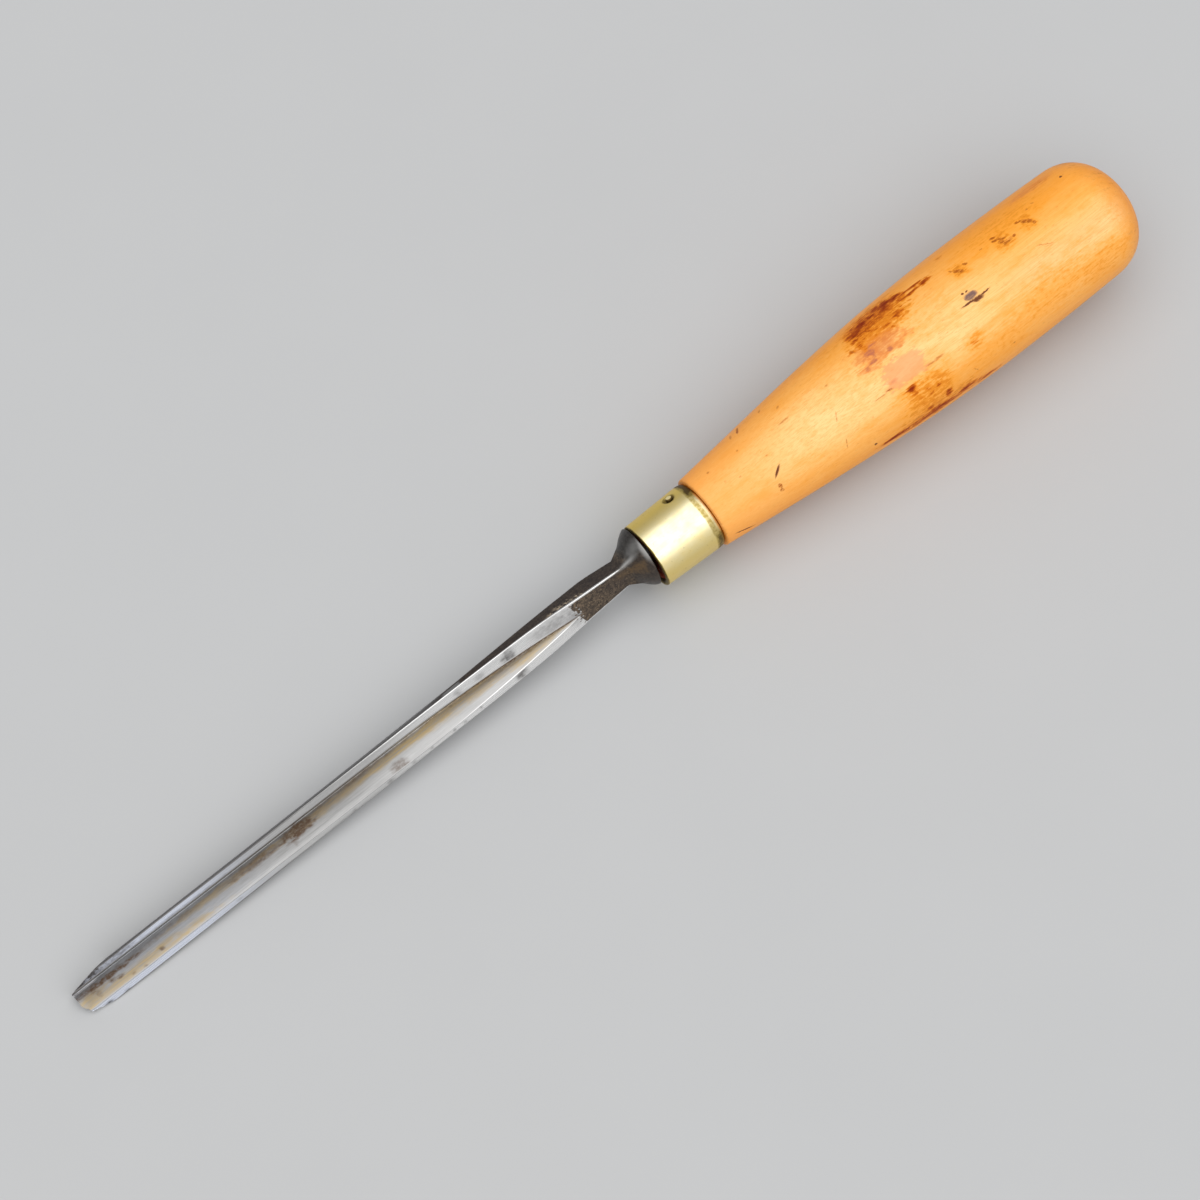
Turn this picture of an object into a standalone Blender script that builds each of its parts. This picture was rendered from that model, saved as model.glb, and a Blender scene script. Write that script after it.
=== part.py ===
"""Carving V-tool: a forged steel blade with a ground V groove, driven by its tang into a turned
boxwood handle, with a pinned brass ferrule round the handle's nose.

The tool's own frame has X along the handle, pointing from the cutting edge to the butt, with x = 0
at the ferrule's front edge. The tool lies on a bench: it rests on the handle's belly and on the
flat outer face of one wing of the blade.
"""

import math

import bmesh
import bpy
import numpy as np
from mathutils import Matrix, Vector, geometry

MM = 0.001
GAP = 0.3 * MM

# Handle: a long taper from the shoulder to the belly, a slight fall and a domed butt
SHOULDER_X = 15.3 * MM
SHOULDER_RADIUS = 8.4 * MM
SHOULDER_ROUNDING = 0.4 * MM
SHOULDER_SLOPE = 0.104
TAPER_LEAD = 0.36
BELLY_X = 90.0 * MM
BELLY_RADIUS = 14.05 * MM
DOME_X = 118.0 * MM
DOME_RADIUS = 13.65 * MM
DOME_SLOPE = -0.03
DOME_FULLNESS = 2.3
BUTT_X = 129.5 * MM
SPIGOT_RECESS = 0.4 * MM
TURNED_STEPS = 64

# Ferrule: a thin brass tube, wider at the back, with its rear edge rolled in
FERRULE_LENGTH = 15.0 * MM
FERRULE_FRONT_RADIUS = 7.5 * MM
FERRULE_REAR_RADIUS = 7.9 * MM
FERRULE_WALL = 1.1 * MM
FERRULE_FRONT_ROUNDING = 0.25 * MM
FERRULE_ROLL_LENGTH = 1.7 * MM
FERRULE_ROLL_DROP = 0.55 * MM

# Ferrule pin: a small domed brad, leaning over from the top of the lying tool
PIN_X = 10.4 * MM
PIN_LEAN = math.radians(42.7)
PIN_RADIUS = 0.6 * MM
PIN_HEAD_RADIUS = 0.8 * MM
PIN_HEAD_RISE = 0.35 * MM
PIN_HEAD_DEPTH = 0.6 * MM
PIN_LENGTH = 4.6 * MM
PIN_POINT = 0.8 * MM
PIN_STEPS = 24

# Blade: stations along x, each a six-sided section given in millimetres:
# x, width of the flat top, height of the upright sides, depth to the keel, width of the keel's flat
BLADE_STATIONS = (
    (-152.0, 9.45, 0.35, 6.60, 0.4),
    (-124.5, 9.45, 0.35, 6.60, 0.4),
    (-102.0, 9.30, 0.38, 6.60, 0.4),
    (-82.0, 9.15, 0.45, 6.62, 0.5),
    (-61.5, 9.05, 0.75, 6.80, 0.6),
    (-41.0, 8.75, 2.00, 6.90, 0.9),
    (-26.5, 8.00, 3.10, 6.60, 1.4),
    (-19.0, 6.75, 4.10, 6.10, 2.0),
    (-14.5, 6.05, 4.65, 5.70, 2.4),
    (-9.7, 5.40, 4.45, 4.90, 2.6),
    (-6.5, 4.90, 4.20, 4.40, 2.6),
)
BLADE_TOP = 2.1 * MM
SHOULDERS_FROM = -61.5 * MM
SHOULDER_STEP = 2.5 * MM
TOP_CUTS, SIDE_CUTS, SLANT_CUTS, KEEL_CUTS = 12, 6, 6, 4

# Groove: a V cut that runs straight from the edge and leaves the top along an arc
GROOVE_HALF_ANGLE = math.radians(40.0)
GROOVE_DEPTH = 3.7 * MM
GROOVE_ROOT_RADIUS = 0.15 * MM
GROOVE_ARC_FROM = -65.2 * MM
GROOVE_ARC_RADIUS = 310.0 * MM
GROOVE_SKEW = 0.0072
GROOVE_CENTRED_AT = -110.0 * MM
GROOVE_OVERRUN = 8.0 * MM
GROOVE_HEADROOM = 1.5 * MM
GROOVE_ARC_STEPS = 18

# Cutting edge: a long outside bevel on each wing, with the wings' corners swept slightly back
TIP_X = -146.9 * MM
EDGE_SWEEP = 0.15 * MM
KEEL_BEVEL_LENGTH = 9.8 * MM
BEVEL_BLOCK = 30.0 * MM

# Bolster and tang
FLARE_FROM = -6.5 * MM
FLARE_TO = -0.40 * MM
ROUND_BY = -3.0 * MM
FLARE_STEPS = 10
BOLSTER_RADIUS = 6.87 * MM
BOLSTER_EDGE = 0.1 * MM
BOLSTER_LEAN = 0.048
BOLSTER_LEAN_SIDE = (0.83, 0.56)
TANG_BASE = 5.6 * MM
TANG_END = 2.4 * MM
TANG_LENGTH = 62.0 * MM
TANG_POINT = 1.0 * MM

# The tang stands a little off the handle's centre and a little askew
SEAT_OFFSET = 0.67 * MM
SEAT_YAW = math.radians(0.63)


def clear_scene():
    for old in list(bpy.data.objects):
        bpy.data.objects.remove(old)


def new_collection(name):
    collection = bpy.data.collections.new(name)
    bpy.context.scene.collection.children.link(collection)
    return collection


def material(name, colour, roughness, metallic):
    made = bpy.data.materials.new(name)
    made.use_nodes = True
    shader = made.node_tree.nodes["Principled BSDF"]
    shader.inputs["Base Color"].default_value = (*colour, 1.0)
    shader.inputs["Roughness"].default_value = roughness
    shader.inputs["Metallic"].default_value = metallic
    return made


def mesh_object(name, mesh, collection, parent):
    made = bpy.data.objects.new(name, mesh)
    collection.objects.link(made)
    made.parent = parent
    return made


def empty(name, collection, parent=None):
    made = bpy.data.objects.new(name, None)
    collection.objects.link(made)
    made.parent = parent
    return made


def as_cutter(cutter):
    cutter.hide_render = True
    cutter.display_type = "WIRE"


def cut(body, *cutters):
    for cutter in cutters:
        step = body.modifiers.new(cutter.name, "BOOLEAN")
        step.operation = "DIFFERENCE"
        step.solver = "EXACT"
        step.object = cutter


def shade(mesh, angle=30.0):
    mesh.shade_smooth()
    mesh.set_sharp_from_angle(angle=math.radians(angle))


def along_x(obj, x=0.0):
    """Turns a shape made along Z to lie along the tool's X axis."""
    obj.location = (x, 0.0, 0.0)
    obj.rotation_euler = (0.0, math.radians(90.0), 0.0)


def turned(name, profile, steps, collection, parent, closed=False):
    """A profile of (radius, height) points, from the top down its outer side, turned about Z."""
    mesh = bpy.data.meshes.new(name)
    count = len(profile)
    edges = [(i, i + 1) for i in range(count - 1)]
    if closed:
        edges.append((count - 1, 0))
    mesh.from_pydata([(r, 0.0, z) for r, z in profile], edges, [])
    made = mesh_object(name, mesh, collection, parent)
    screw = made.modifiers.new("Turn", "SCREW")
    screw.axis = "Z"
    screw.angle = math.tau
    screw.steps = steps
    screw.render_steps = steps
    screw.use_merge_vertices = True
    screw.merge_threshold = 0.00001
    screw.use_smooth_shade = True
    return made


def bezier(start, start_lead, end, end_lead, points):
    """Points of a cubic curve from start to end, with a lead out of each given as a vector."""
    ends = [Vector((*p, 0.0)) for p in (start, start + start_lead, end - end_lead, end)]
    return [p.to_2d() for p in geometry.interpolate_bezier(*ends, points)]


def arc(centre, radii, from_angle, to_angle, steps, fullness=2.0):
    """Points on an ellipse's arc, fuller than an ellipse above 2. Angles are in degrees from the
    radius axis.
    """
    found = []
    for i in range(steps + 1):
        turn = math.radians(from_angle + (to_angle - from_angle) * i / steps)
        reach = [math.copysign(abs(c) ** (2.0 / fullness), c) for c in (math.cos(turn), math.sin(turn))]
        found.append(Vector(centre) + Vector((radii[0] * reach[0], radii[1] * reach[1])))
    return found


def smoothstep(share):
    share = min(max(share, 0.0), 1.0)
    return share * share * (3.0 - 2.0 * share)


def ferrule_radius(x):
    """The ferrule's outer radius at a station, before its rear edge rolls in."""
    return FERRULE_FRONT_RADIUS + (FERRULE_REAR_RADIUS - FERRULE_FRONT_RADIUS) * x / FERRULE_LENGTH


def spigot_radius(x):
    return ferrule_radius(x) - FERRULE_WALL - GAP


def handle_profile():
    """From the butt's centre over the dome and down the grip to the spigot's end."""
    dome = arc((0.0, DOME_X), (DOME_RADIUS, BUTT_X - DOME_X), 90.0, 0.0, 14, DOME_FULLNESS)
    fall_run = (DOME_X - BELLY_X) / 3.0
    fall = bezier(
        Vector((DOME_RADIUS, DOME_X)),
        Vector((-DOME_SLOPE * fall_run, -fall_run)),
        Vector((BELLY_RADIUS, BELLY_X)),
        Vector((0.0, -fall_run)),
        6,
    )
    taper_run = (BELLY_X - SHOULDER_X) * TAPER_LEAD
    grip_end = SHOULDER_X + SHOULDER_ROUNDING
    taper = bezier(
        Vector((BELLY_RADIUS, BELLY_X)),
        Vector((0.0, -taper_run)),
        Vector((SHOULDER_RADIUS, grip_end)),
        Vector((-SHOULDER_SLOPE * taper_run, -taper_run)),
        16,
    )
    edge_centre = (SHOULDER_RADIUS - SHOULDER_ROUNDING, grip_end)
    edge = arc(edge_centre, (SHOULDER_ROUNDING, SHOULDER_ROUNDING), 0.0, -90.0, 3)
    spigot = [
        Vector((spigot_radius(SHOULDER_X), SHOULDER_X)),
        Vector((spigot_radius(0.0), SPIGOT_RECESS)),
        Vector((0.0, SPIGOT_RECESS)),
    ]
    return [tuple(p) for p in dome + fall[1:] + taper[1:] + edge[1:] + spigot]


def ferrule_profile():
    """The tube's wall, down the outside from its rolled rear edge and back up the inside."""
    rear_wall = FERRULE_REAR_RADIUS - FERRULE_WALL
    front_wall = FERRULE_FRONT_RADIUS - FERRULE_WALL
    roll_x = FERRULE_LENGTH - FERRULE_ROLL_LENGTH
    roll_radius = ferrule_radius(roll_x)
    roll_radii = (FERRULE_ROLL_DROP, FERRULE_ROLL_LENGTH)
    roll = arc((roll_radius - FERRULE_ROLL_DROP, roll_x), roll_radii, 90.0, 0.0, 5)
    rounding = (FERRULE_FRONT_ROUNDING, FERRULE_FRONT_ROUNDING)
    front_centre = (FERRULE_FRONT_RADIUS - FERRULE_FRONT_ROUNDING, FERRULE_FRONT_ROUNDING)
    front = arc(front_centre, rounding, 0.0, -90.0, 3)
    inside = [Vector((front_wall, 0.0)), Vector((rear_wall, FERRULE_LENGTH))]
    return [tuple(p) for p in roll + front + inside]


def pin_profile(clearance=0.0):
    """The pin from its dome to its point, or the wider hole round it. Height 0 is the brass's face."""
    head = PIN_HEAD_RADIUS + clearance
    shank = PIN_RADIUS + clearance
    dome = arc((0.0, 0.0), (head, PIN_HEAD_RISE), 90.0, 0.0, 5)
    if clearance:
        dome = [Vector((0.0, head)), Vector((head, head))]
    neck = -PIN_HEAD_DEPTH - clearance
    end = -PIN_LENGTH - clearance
    lower = [(head, neck), (shank, neck), (shank, end + PIN_POINT), (0.0, end)]
    return [tuple(p) for p in dome] + lower


def blade_section(x):
    """The six corners of the blade at a station, as (side, height).

    The values run smoothly between the stations, with each station's slope taken from its
    neighbours.
    """
    table = np.array(BLADE_STATIONS) * MM
    stations = table[:, 0]
    i = int(np.clip(np.searchsorted(stations, x) - 1, 0, len(stations) - 2))
    run = stations[i + 1] - stations[i]
    share = (x - stations[i]) / run
    values = []
    for column in table[:, 1:].T:
        slope = np.gradient(column, stations)
        if column[i] == column[i + 1]:
            values.append(column[i])
            continue
        ease = 2 * share**3 - 3 * share**2
        start = (1 + ease) * column[i] + run * (share**3 - 2 * share**2 + share) * slope[i]
        end = -ease * column[i + 1] + run * (share**3 - share**2) * slope[i + 1]
        values.append(start + end)
    width, side, depth, keel = values
    half = width / 2.0
    low = BLADE_TOP - side
    bottom = BLADE_TOP - depth
    return (
        (half, BLADE_TOP),
        (-half, BLADE_TOP),
        (-half, low),
        (-keel / 2.0, bottom),
        (keel / 2.0, bottom),
        (half, low),
    )


def square_section(size):
    """A square with corners in the blade sections' order, its lower side divided like a keel."""
    half, quarter = size / 2.0, size / 4.0
    return ((half, half), (-half, half), (-half, -half), (-quarter, -half), (quarter, -half), (half, -half))


def outline(corners):
    """A section's corners with each side divided, so that every section has the same count."""
    cuts = (TOP_CUTS, SIDE_CUTS, SLANT_CUTS, KEEL_CUTS, SLANT_CUTS, SIDE_CUTS)
    points = []
    for i, count in enumerate(cuts):
        start = Vector(corners[i])
        end = Vector(corners[(i + 1) % len(corners)])
        points += [start.lerp(end, k / count) for k in range(count)]
    return points


def round_outline(points, radius):
    return [p.normalized() * radius for p in points]


def loft(name, rings):
    """A closed solid through rings of (x, points), with the first and last ring filled."""
    bm = bmesh.new()
    made = [[bm.verts.new((x, -p.x, p.y)) for p in points] for x, points in rings]
    count = len(made[0])
    for a, b in zip(made, made[1:]):
        for i in range(count):
            j = (i + 1) % count
            bm.faces.new((a[i], a[j], b[j], b[i]))
    bm.faces.new(made[0])
    bm.faces.new(made[-1])
    bmesh.ops.recalc_face_normals(bm, faces=bm.faces)
    mesh = bpy.data.meshes.new(name)
    bm.to_mesh(mesh)
    bm.free()
    return mesh


def tang_rings(clearance=0.0):
    """The tang's square sections from the bolster's back to its blunt point."""
    grow = 2.0 * clearance
    start = -GAP - clearance
    end = start + TANG_LENGTH + grow
    base = outline(square_section(TANG_BASE + grow))
    near_end = outline(square_section(TANG_END + grow))
    point = outline(square_section(TANG_END / 2.0 + grow))
    return [(start, base), (end - TANG_POINT, near_end), (end, point)]


def blade_rings():
    rings = []
    straight = [row[0] * MM for row in BLADE_STATIONS if row[0] * MM < SHOULDERS_FROM]
    steps = round((FLARE_FROM - SHOULDERS_FROM) / SHOULDER_STEP)
    drawn_in = [SHOULDERS_FROM + (FLARE_FROM - SHOULDERS_FROM) * i / steps for i in range(steps + 1)]
    for x in straight + drawn_in:
        rings.append((x, outline(blade_section(x))))
    neck = rings[-1][1]
    for i in range(1, FLARE_STEPS + 1):
        share = i / FLARE_STEPS
        x = FLARE_FROM + (FLARE_TO - FLARE_FROM) * share
        swell = (smoothstep(share) + share) / 2.0
        mean_radius = sum(p.length for p in neck) / len(neck)
        radius = mean_radius + (BOLSTER_RADIUS - mean_radius) * swell
        roundness = smoothstep((x - FLARE_FROM) / (ROUND_BY - FLARE_FROM))
        square = [p * radius / mean_radius for p in neck]
        disc = round_outline(neck, radius)
        rings.append((x, [a.lerp(b, roundness) for a, b in zip(square, disc)]))
    for x, radius in (
        (-GAP - BOLSTER_EDGE, BOLSTER_RADIUS),
        (-GAP, BOLSTER_RADIUS - BOLSTER_EDGE),
    ):
        rings.append((x, round_outline(neck, radius)))
    return rings + tang_rings()


def groove_offset(x):
    """How far the groove's middle stands to the side, from its slight skew."""
    return GROOVE_SKEW * (x - GROOVE_CENTRED_AT)


def groove_rings():
    """V sections whose root follows the groove's floor, then climbs the arc out of the top."""
    run_out = math.sqrt(2.0 * GROOVE_ARC_RADIUS * (GROOVE_DEPTH + GROOVE_HEADROOM / 2.0))
    stations = [TIP_X - GROOVE_OVERRUN]
    stations += [GROOVE_ARC_FROM + run_out * i / GROOVE_ARC_STEPS for i in range(GROOVE_ARC_STEPS + 1)]
    root_half = GROOVE_ROOT_RADIUS * math.cos(GROOVE_HALF_ANGLE)
    root_lift = GROOVE_ROOT_RADIUS * (1.0 / math.sin(GROOVE_HALF_ANGLE) - math.sin(GROOVE_HALF_ANGLE))
    sagitta = GROOVE_ROOT_RADIUS * (1.0 / math.sin(GROOVE_HALF_ANGLE) - 1.0)
    rings = []
    for x in stations:
        past = max(0.0, x - GROOVE_ARC_FROM)
        climb = GROOVE_ARC_RADIUS - math.sqrt(GROOVE_ARC_RADIUS**2 - past**2)
        apex = BLADE_TOP - GROOVE_DEPTH + climb
        mouth = BLADE_TOP + GROOVE_HEADROOM
        half = (mouth - apex) * math.tan(GROOVE_HALF_ANGLE)
        shift = groove_offset(x)
        points = [
            (half, mouth),
            (-half, mouth),
            (-root_half, apex + root_lift),
            (0.0, apex + sagitta),
            (root_half, apex + root_lift),
        ]
        rings.append((x, [Vector((side + shift, height)) for side, height in points]))
    return rings


def bevel_cutter(side, collection, parent):
    """A block whose face is the ground bevel of one wing: side is 1 or -1 across the blade."""
    mouth_half = GROOVE_DEPTH * math.tan(GROOVE_HALF_ANGLE)
    corners = blade_section(TIP_X)
    shift = groove_offset(TIP_X)
    root = Vector((TIP_X, -shift, BLADE_TOP - GROOVE_DEPTH))
    corner = Vector((TIP_X + EDGE_SWEEP, -shift - side * mouth_half, BLADE_TOP))
    keel_side, keel_height = corners[4]
    heel = Vector((TIP_X + KEEL_BEVEL_LENGTH, -side * keel_side, keel_height))
    along = (corner - root).normalized()
    outward = along.cross(heel - root).normalized()
    if outward.y * side > 0.0:
        outward.negate()
    across = outward.cross(along)
    name = "bevel_near" if side > 0 else "bevel_far"
    bm = bmesh.new()
    bmesh.ops.create_cube(bm, size=BEVEL_BLOCK)
    mesh = bpy.data.meshes.new(name)
    bm.to_mesh(mesh)
    bm.free()
    made = mesh_object(name, mesh, collection, parent)
    basis = Matrix((along, across, outward)).transposed().to_4x4()
    centre = (root + corner) / 2.0 + outward * BEVEL_BLOCK / 2.0
    made.matrix_local = Matrix.Translation(centre) @ basis
    as_cutter(made)
    return made


def lean_bolster(mesh):
    """Sets the bolster a little out of square, so that one side of it stands off the ferrule."""
    for vertex in mesh.vertices:
        x, y, z = vertex.co
        if x < 0.0:
            share = smoothstep((x - FLARE_FROM) / (FLARE_TO - FLARE_FROM))
            reach = Vector((-y, z)).dot(Vector(BOLSTER_LEAN_SIDE))
            vertex.co.x -= BOLSTER_LEAN * share * (reach + BOLSTER_RADIUS)


def make_blade(parts, cutters, seat):
    mesh = loft("blade", blade_rings())
    lean_bolster(mesh)
    mesh.materials.append(material("blade_steel", (0.42, 0.42, 0.42), 0.32, 1.0))
    blade = mesh_object("blade", mesh, parts, seat)
    groove = mesh_object("groove", loft("groove", groove_rings()), cutters, seat)
    as_cutter(groove)
    cut(blade, groove, bevel_cutter(1, cutters, seat), bevel_cutter(-1, cutters, seat))
    flats = blade.modifiers.new("Flats", "DECIMATE")
    flats.decimate_type = "DISSOLVE"
    flats.angle_limit = math.radians(0.05)
    shade(mesh)
    return blade


def make_pin(parts, cutters, tool):
    """The pin, and the hole for it in the brass and the wood."""
    pin = turned("ferrule_pin", pin_profile(), PIN_STEPS, parts, tool)
    hole = turned("pin_hole", pin_profile(GAP), PIN_STEPS, cutters, tool)
    as_cutter(hole)
    radius = ferrule_radius(PIN_X)
    for made in (pin, hole):
        made.location = (PIN_X, radius * math.sin(PIN_LEAN), radius * math.cos(PIN_LEAN))
        made.rotation_euler = (-PIN_LEAN, 0.0, 0.0)
    pin.data.materials.append(material("pin_brass", (0.55, 0.46, 0.22), 0.35, 1.0))
    return hole


def make_ferrule(parts, tool, hole):
    ferrule = turned("ferrule", ferrule_profile(), TURNED_STEPS, parts, tool, closed=True)
    along_x(ferrule)
    ferrule.data.materials.append(material("ferrule_brass", (0.62, 0.56, 0.28), 0.28, 1.0))
    cut(ferrule, hole)


def make_handle(parts, cutters, tool, seat, hole):
    handle = turned("handle", handle_profile(), TURNED_STEPS, parts, tool)
    along_x(handle)
    handle.data.materials.append(material("handle_boxwood", (0.78, 0.40, 0.10), 0.42, 0.0))
    socket = mesh_object("tang_socket", loft("tang_socket", tang_rings(GAP)), cutters, seat)
    as_cutter(socket)
    cut(handle, socket, hole)
    return handle


def world_points(obj):
    """The finished piece's points in world space."""
    bpy.context.view_layer.update()
    done = obj.evaluated_get(bpy.context.evaluated_depsgraph_get())
    return np.array([done.matrix_world @ v.co for v in done.data.vertices])


def lay_down(tool, handle, blade, parts):
    """Tips the tool until belly and wing rest at one level, and centres it over the origin."""
    for _ in range(5):
        belly = min(world_points(handle), key=lambda p: p[2])
        wing = min(world_points(blade), key=lambda p: p[2])
        tool.rotation_euler.y += math.atan2(belly[2] - wing[2], belly[0] - wing[0])
    points = np.concatenate([world_points(o) for o in parts.objects if o.type == "MESH"])
    low, high = points.min(axis=0), points.max(axis=0)
    middle = (low + high) / 2.0
    tool.location -= Vector((middle[0], middle[1], low[2]))


def main():
    clear_scene()
    parts = new_collection("carving_v_tool")
    cutters = new_collection("cutters")
    tool = empty("tool", parts)
    seat = empty("blade_seat", parts, tool)
    tip_half, tip_low = blade_section(TIP_X)[5]
    keel_half, keel_low = blade_section(TIP_X)[4]
    wing_angle = math.atan2(tip_low - keel_low, tip_half - keel_half)
    seat.location = (0.0, SEAT_OFFSET, 0.0)
    seat.rotation_euler = (wing_angle, 0.0, SEAT_YAW)
    blade = make_blade(parts, cutters, seat)
    hole = make_pin(parts, cutters, tool)
    make_ferrule(parts, tool, hole)
    handle = make_handle(parts, cutters, tool, seat, hole)
    lay_down(tool, handle, blade, parts)


main()
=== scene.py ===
import math
from functools import partialmethod

import bpy
import numpy as np
from mathutils import Matrix


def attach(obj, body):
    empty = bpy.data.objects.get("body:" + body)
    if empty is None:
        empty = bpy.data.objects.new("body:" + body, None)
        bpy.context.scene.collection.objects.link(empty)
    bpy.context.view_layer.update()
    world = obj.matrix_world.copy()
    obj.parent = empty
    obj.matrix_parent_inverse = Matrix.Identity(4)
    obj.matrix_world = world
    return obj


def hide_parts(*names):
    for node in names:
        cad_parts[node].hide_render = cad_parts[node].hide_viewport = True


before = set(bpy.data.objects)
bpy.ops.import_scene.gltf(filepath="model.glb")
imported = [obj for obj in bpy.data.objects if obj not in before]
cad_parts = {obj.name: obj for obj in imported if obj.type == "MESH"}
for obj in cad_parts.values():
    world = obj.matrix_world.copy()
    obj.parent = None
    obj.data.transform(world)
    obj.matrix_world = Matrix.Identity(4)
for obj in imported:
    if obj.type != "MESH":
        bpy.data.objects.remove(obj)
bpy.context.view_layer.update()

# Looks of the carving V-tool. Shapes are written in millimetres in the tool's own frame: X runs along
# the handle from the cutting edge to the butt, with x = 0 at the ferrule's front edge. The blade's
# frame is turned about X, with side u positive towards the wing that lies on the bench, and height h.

MM = 0.001
QUARTER_TURN = 0.5 * math.pi

# How the tool lies
TILT = math.radians(2.93153)
FERRULE_FRONT = (0.008788, 0, 0.009919)
SEAT_OFFSET, SEAT_YAW = 0.67, math.radians(0.63)
GAP = 0.3
# How far the mesh stays inside the CAD model's box, at the butt and above the bench
SKIN, LIFT = 0.03, 0.012

# Handle
SHOULDER_X, SHOULDER_RADIUS, SHOULDER_ROUNDING, SHOULDER_SLOPE = 15.12, 8.4, 0.4, 0.104
TAPER_LEAD = 0.36
BELLY_X, BELLY_RADIUS = 90, 14.05
DOME_X, DOME_RADIUS, DOME_SLOPE, DOME_FULLNESS = 118, 13.65, -0.03, 2.3
BUTT_X, BUTT_FLAT = 129.5, 0.02
SPIGOT_RECESS, SPIGOT_CHAMFER, SOCKET_MOUTH = 0.4, 0.15, 5.4
# Its mesh: columns from one angle to another, dense where they are seen, and rings of each stretch
SEEN, HIDDEN = (-112, 82, 190), (82, 248, 42)
DOME_RINGS, GRIP_RINGS, EDGE_RINGS = 46, 322, 6
HANDLE_FIELDS = ("stain_and_shade", "wash", "flush", "blush", "ash", "grime_and_shade")

# Ferrule and its pin
FERRULE_LENGTH, FERRULE_FRONT_RADIUS, FERRULE_REAR_RADIUS, FERRULE_WALL = 15, 7.5, 7.9, 1.1
FERRULE_ROUNDING = 0.25
ROLL_LENGTH, ROLL_DROP = 1.7, 0.55
FERRULE_COLUMNS, ROLL_RINGS, TUBE_RINGS, FRONT_RINGS, BORE_RINGS = 384, 16, 104, 7, 14
PIN_X, PIN_LEAN = 10.4, math.radians(42.7)
PIN_RADIUS, PIN_HEAD_RADIUS, PIN_HEAD_RISE, PIN_HEAD_DEPTH = 0.6, 0.8, 0.35, 0.6
PIN_LENGTH, PIN_POINT, PIN_FLAT = 4.6, 0.8, 0.01
PIN_COLUMNS, PIN_DOME_RINGS = 64, 16
HOLE_DEPTH, HOLE_SHIFT = 0.55, 0.15

# Blade stations: x, width of the top, height of the sides, depth to the keel, width of the keel's flat
BLADE_STATIONS = np.array((
    (-152, 9.45, 0.35, 6.6, 0.4),
    (-124.5, 9.45, 0.35, 6.6, 0.4),
    (-102, 9.3, 0.38, 6.6, 0.4),
    (-82, 9.15, 0.45, 6.62, 0.5),
    (-61.5, 9.05, 0.75, 6.8, 0.6),
    (-41, 8.75, 2, 6.9, 0.9),
    (-26.5, 8, 3.1, 6.6, 1.4),
    (-19, 6.75, 4.1, 6.1, 2),
    (-14.5, 6.05, 4.65, 5.7, 2.4),
    (-9.7, 5.4, 4.45, 4.9, 2.6),
    (-6.5, 4.9, 4.2, 4.4, 2.6),
))
BLADE_TOP = 2.1
GROOVE_HALF_ANGLE, GROOVE_DEPTH, MOUTH_LEAST = math.radians(40), 3.7, 0.25
GROOVE_ARC_FROM, GROOVE_ARC_RADIUS = -65.2, 310
GROOVE_SKEW, GROOVE_CENTRED_AT = 0.0072, -110
TIP_X, EDGE_SWEEP, KEEL_BEVEL_LENGTH = -146.9, 0.15, 9.8
CORNER_WEAR, BEVEL_LEAST, EDGE_THINNEST = 1, 1.2, 0.012
HEEL_RING, EVEN_RING, HONE_SPAN = 8, 20, 20
FLARE_FROM, FLARE_TO, ROUND_BY = -6.5, -0.5, -3
BOLSTER_RADIUS, BOLSTER_LEAN, BOLSTER_LEAN_SIDE = 6.87, 0.048, (0.83, 0.56)
TANG_BASE, TANG_END, TANG_LENGTH, TANG_POINT = 5.6, 2.4, 62, 1
# Its mesh: rings up to the bevels' heel, in the flare and round the bolster's edge, and the end and the
# rings of each stretch between heel and flare
HEEL_RINGS, FLARE_RINGS, BOLSTER_RINGS = 44, 34, 5
STRETCHES = ((TIP_X + EVEN_RING, 56), (-66, 126), (-24, 110), (FLARE_FROM, 76))
BLADE_FIELDS = (
    "scale", "side", "patina", "bright", "polish", "blue_reflection", "tan", "rust", "smudge",
    "bolster", "ruddy", "painted_sheen", "umber", "flakes", "ground", "hone",
)

# How far each of a section's corners is rounded and how finely the side after it is cut
ROUNDING = (0.16, 0.07, 0.22, 0.07, 0.14, 0.3, 0.14, 0.14, 0.3)
SIDE_CUTS = (9, 14, 24, 9, 9, 16, 3, 16, 9)
ARC_POINTS = 5
# Numbers of the section's parts: a side has its first corner's number, and a corner's arc half less
(
    FAR_ARRIS, FAR_RIM, FAR_LIP, FAR_WALL, ROOT, NEAR_WALL, NEAR_LIP, NEAR_RIM, NEAR_ARRIS,
) = np.arange(-0.5, 4, 0.5)
KEEL_NEAR, KEEL_FAR, FAR_FOOT, FAR_SIDE = 5.5, 6.5, 7.5, 8

# Camera, at the photograph's viewing angle
CAMERA_AT = (-0.160354, -0.1967, 0.660201)
CAMERA_AZIMUTH, CAMERA_ELEVATION = math.radians(38.58), math.radians(69)
CAMERA_LENS, CAMERA_SENSOR, CAMERA_CLIP = 101.43, 36, 0.01

# Studio: an even sky, slightly paler overhead, a soft glow low on the camera's side, and a wide soft lamp
FLOOR_HALF = 3.0
SKY_LEVEL, SKY_RISE, SKY_GLOW = 0.42, 0.06, 0.34
LAMP_SIZE, LAMP_DISTANCE, LAMP_LEAN, LAMP_POWER = 6, 2.75, math.radians(11), 115.6

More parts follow.
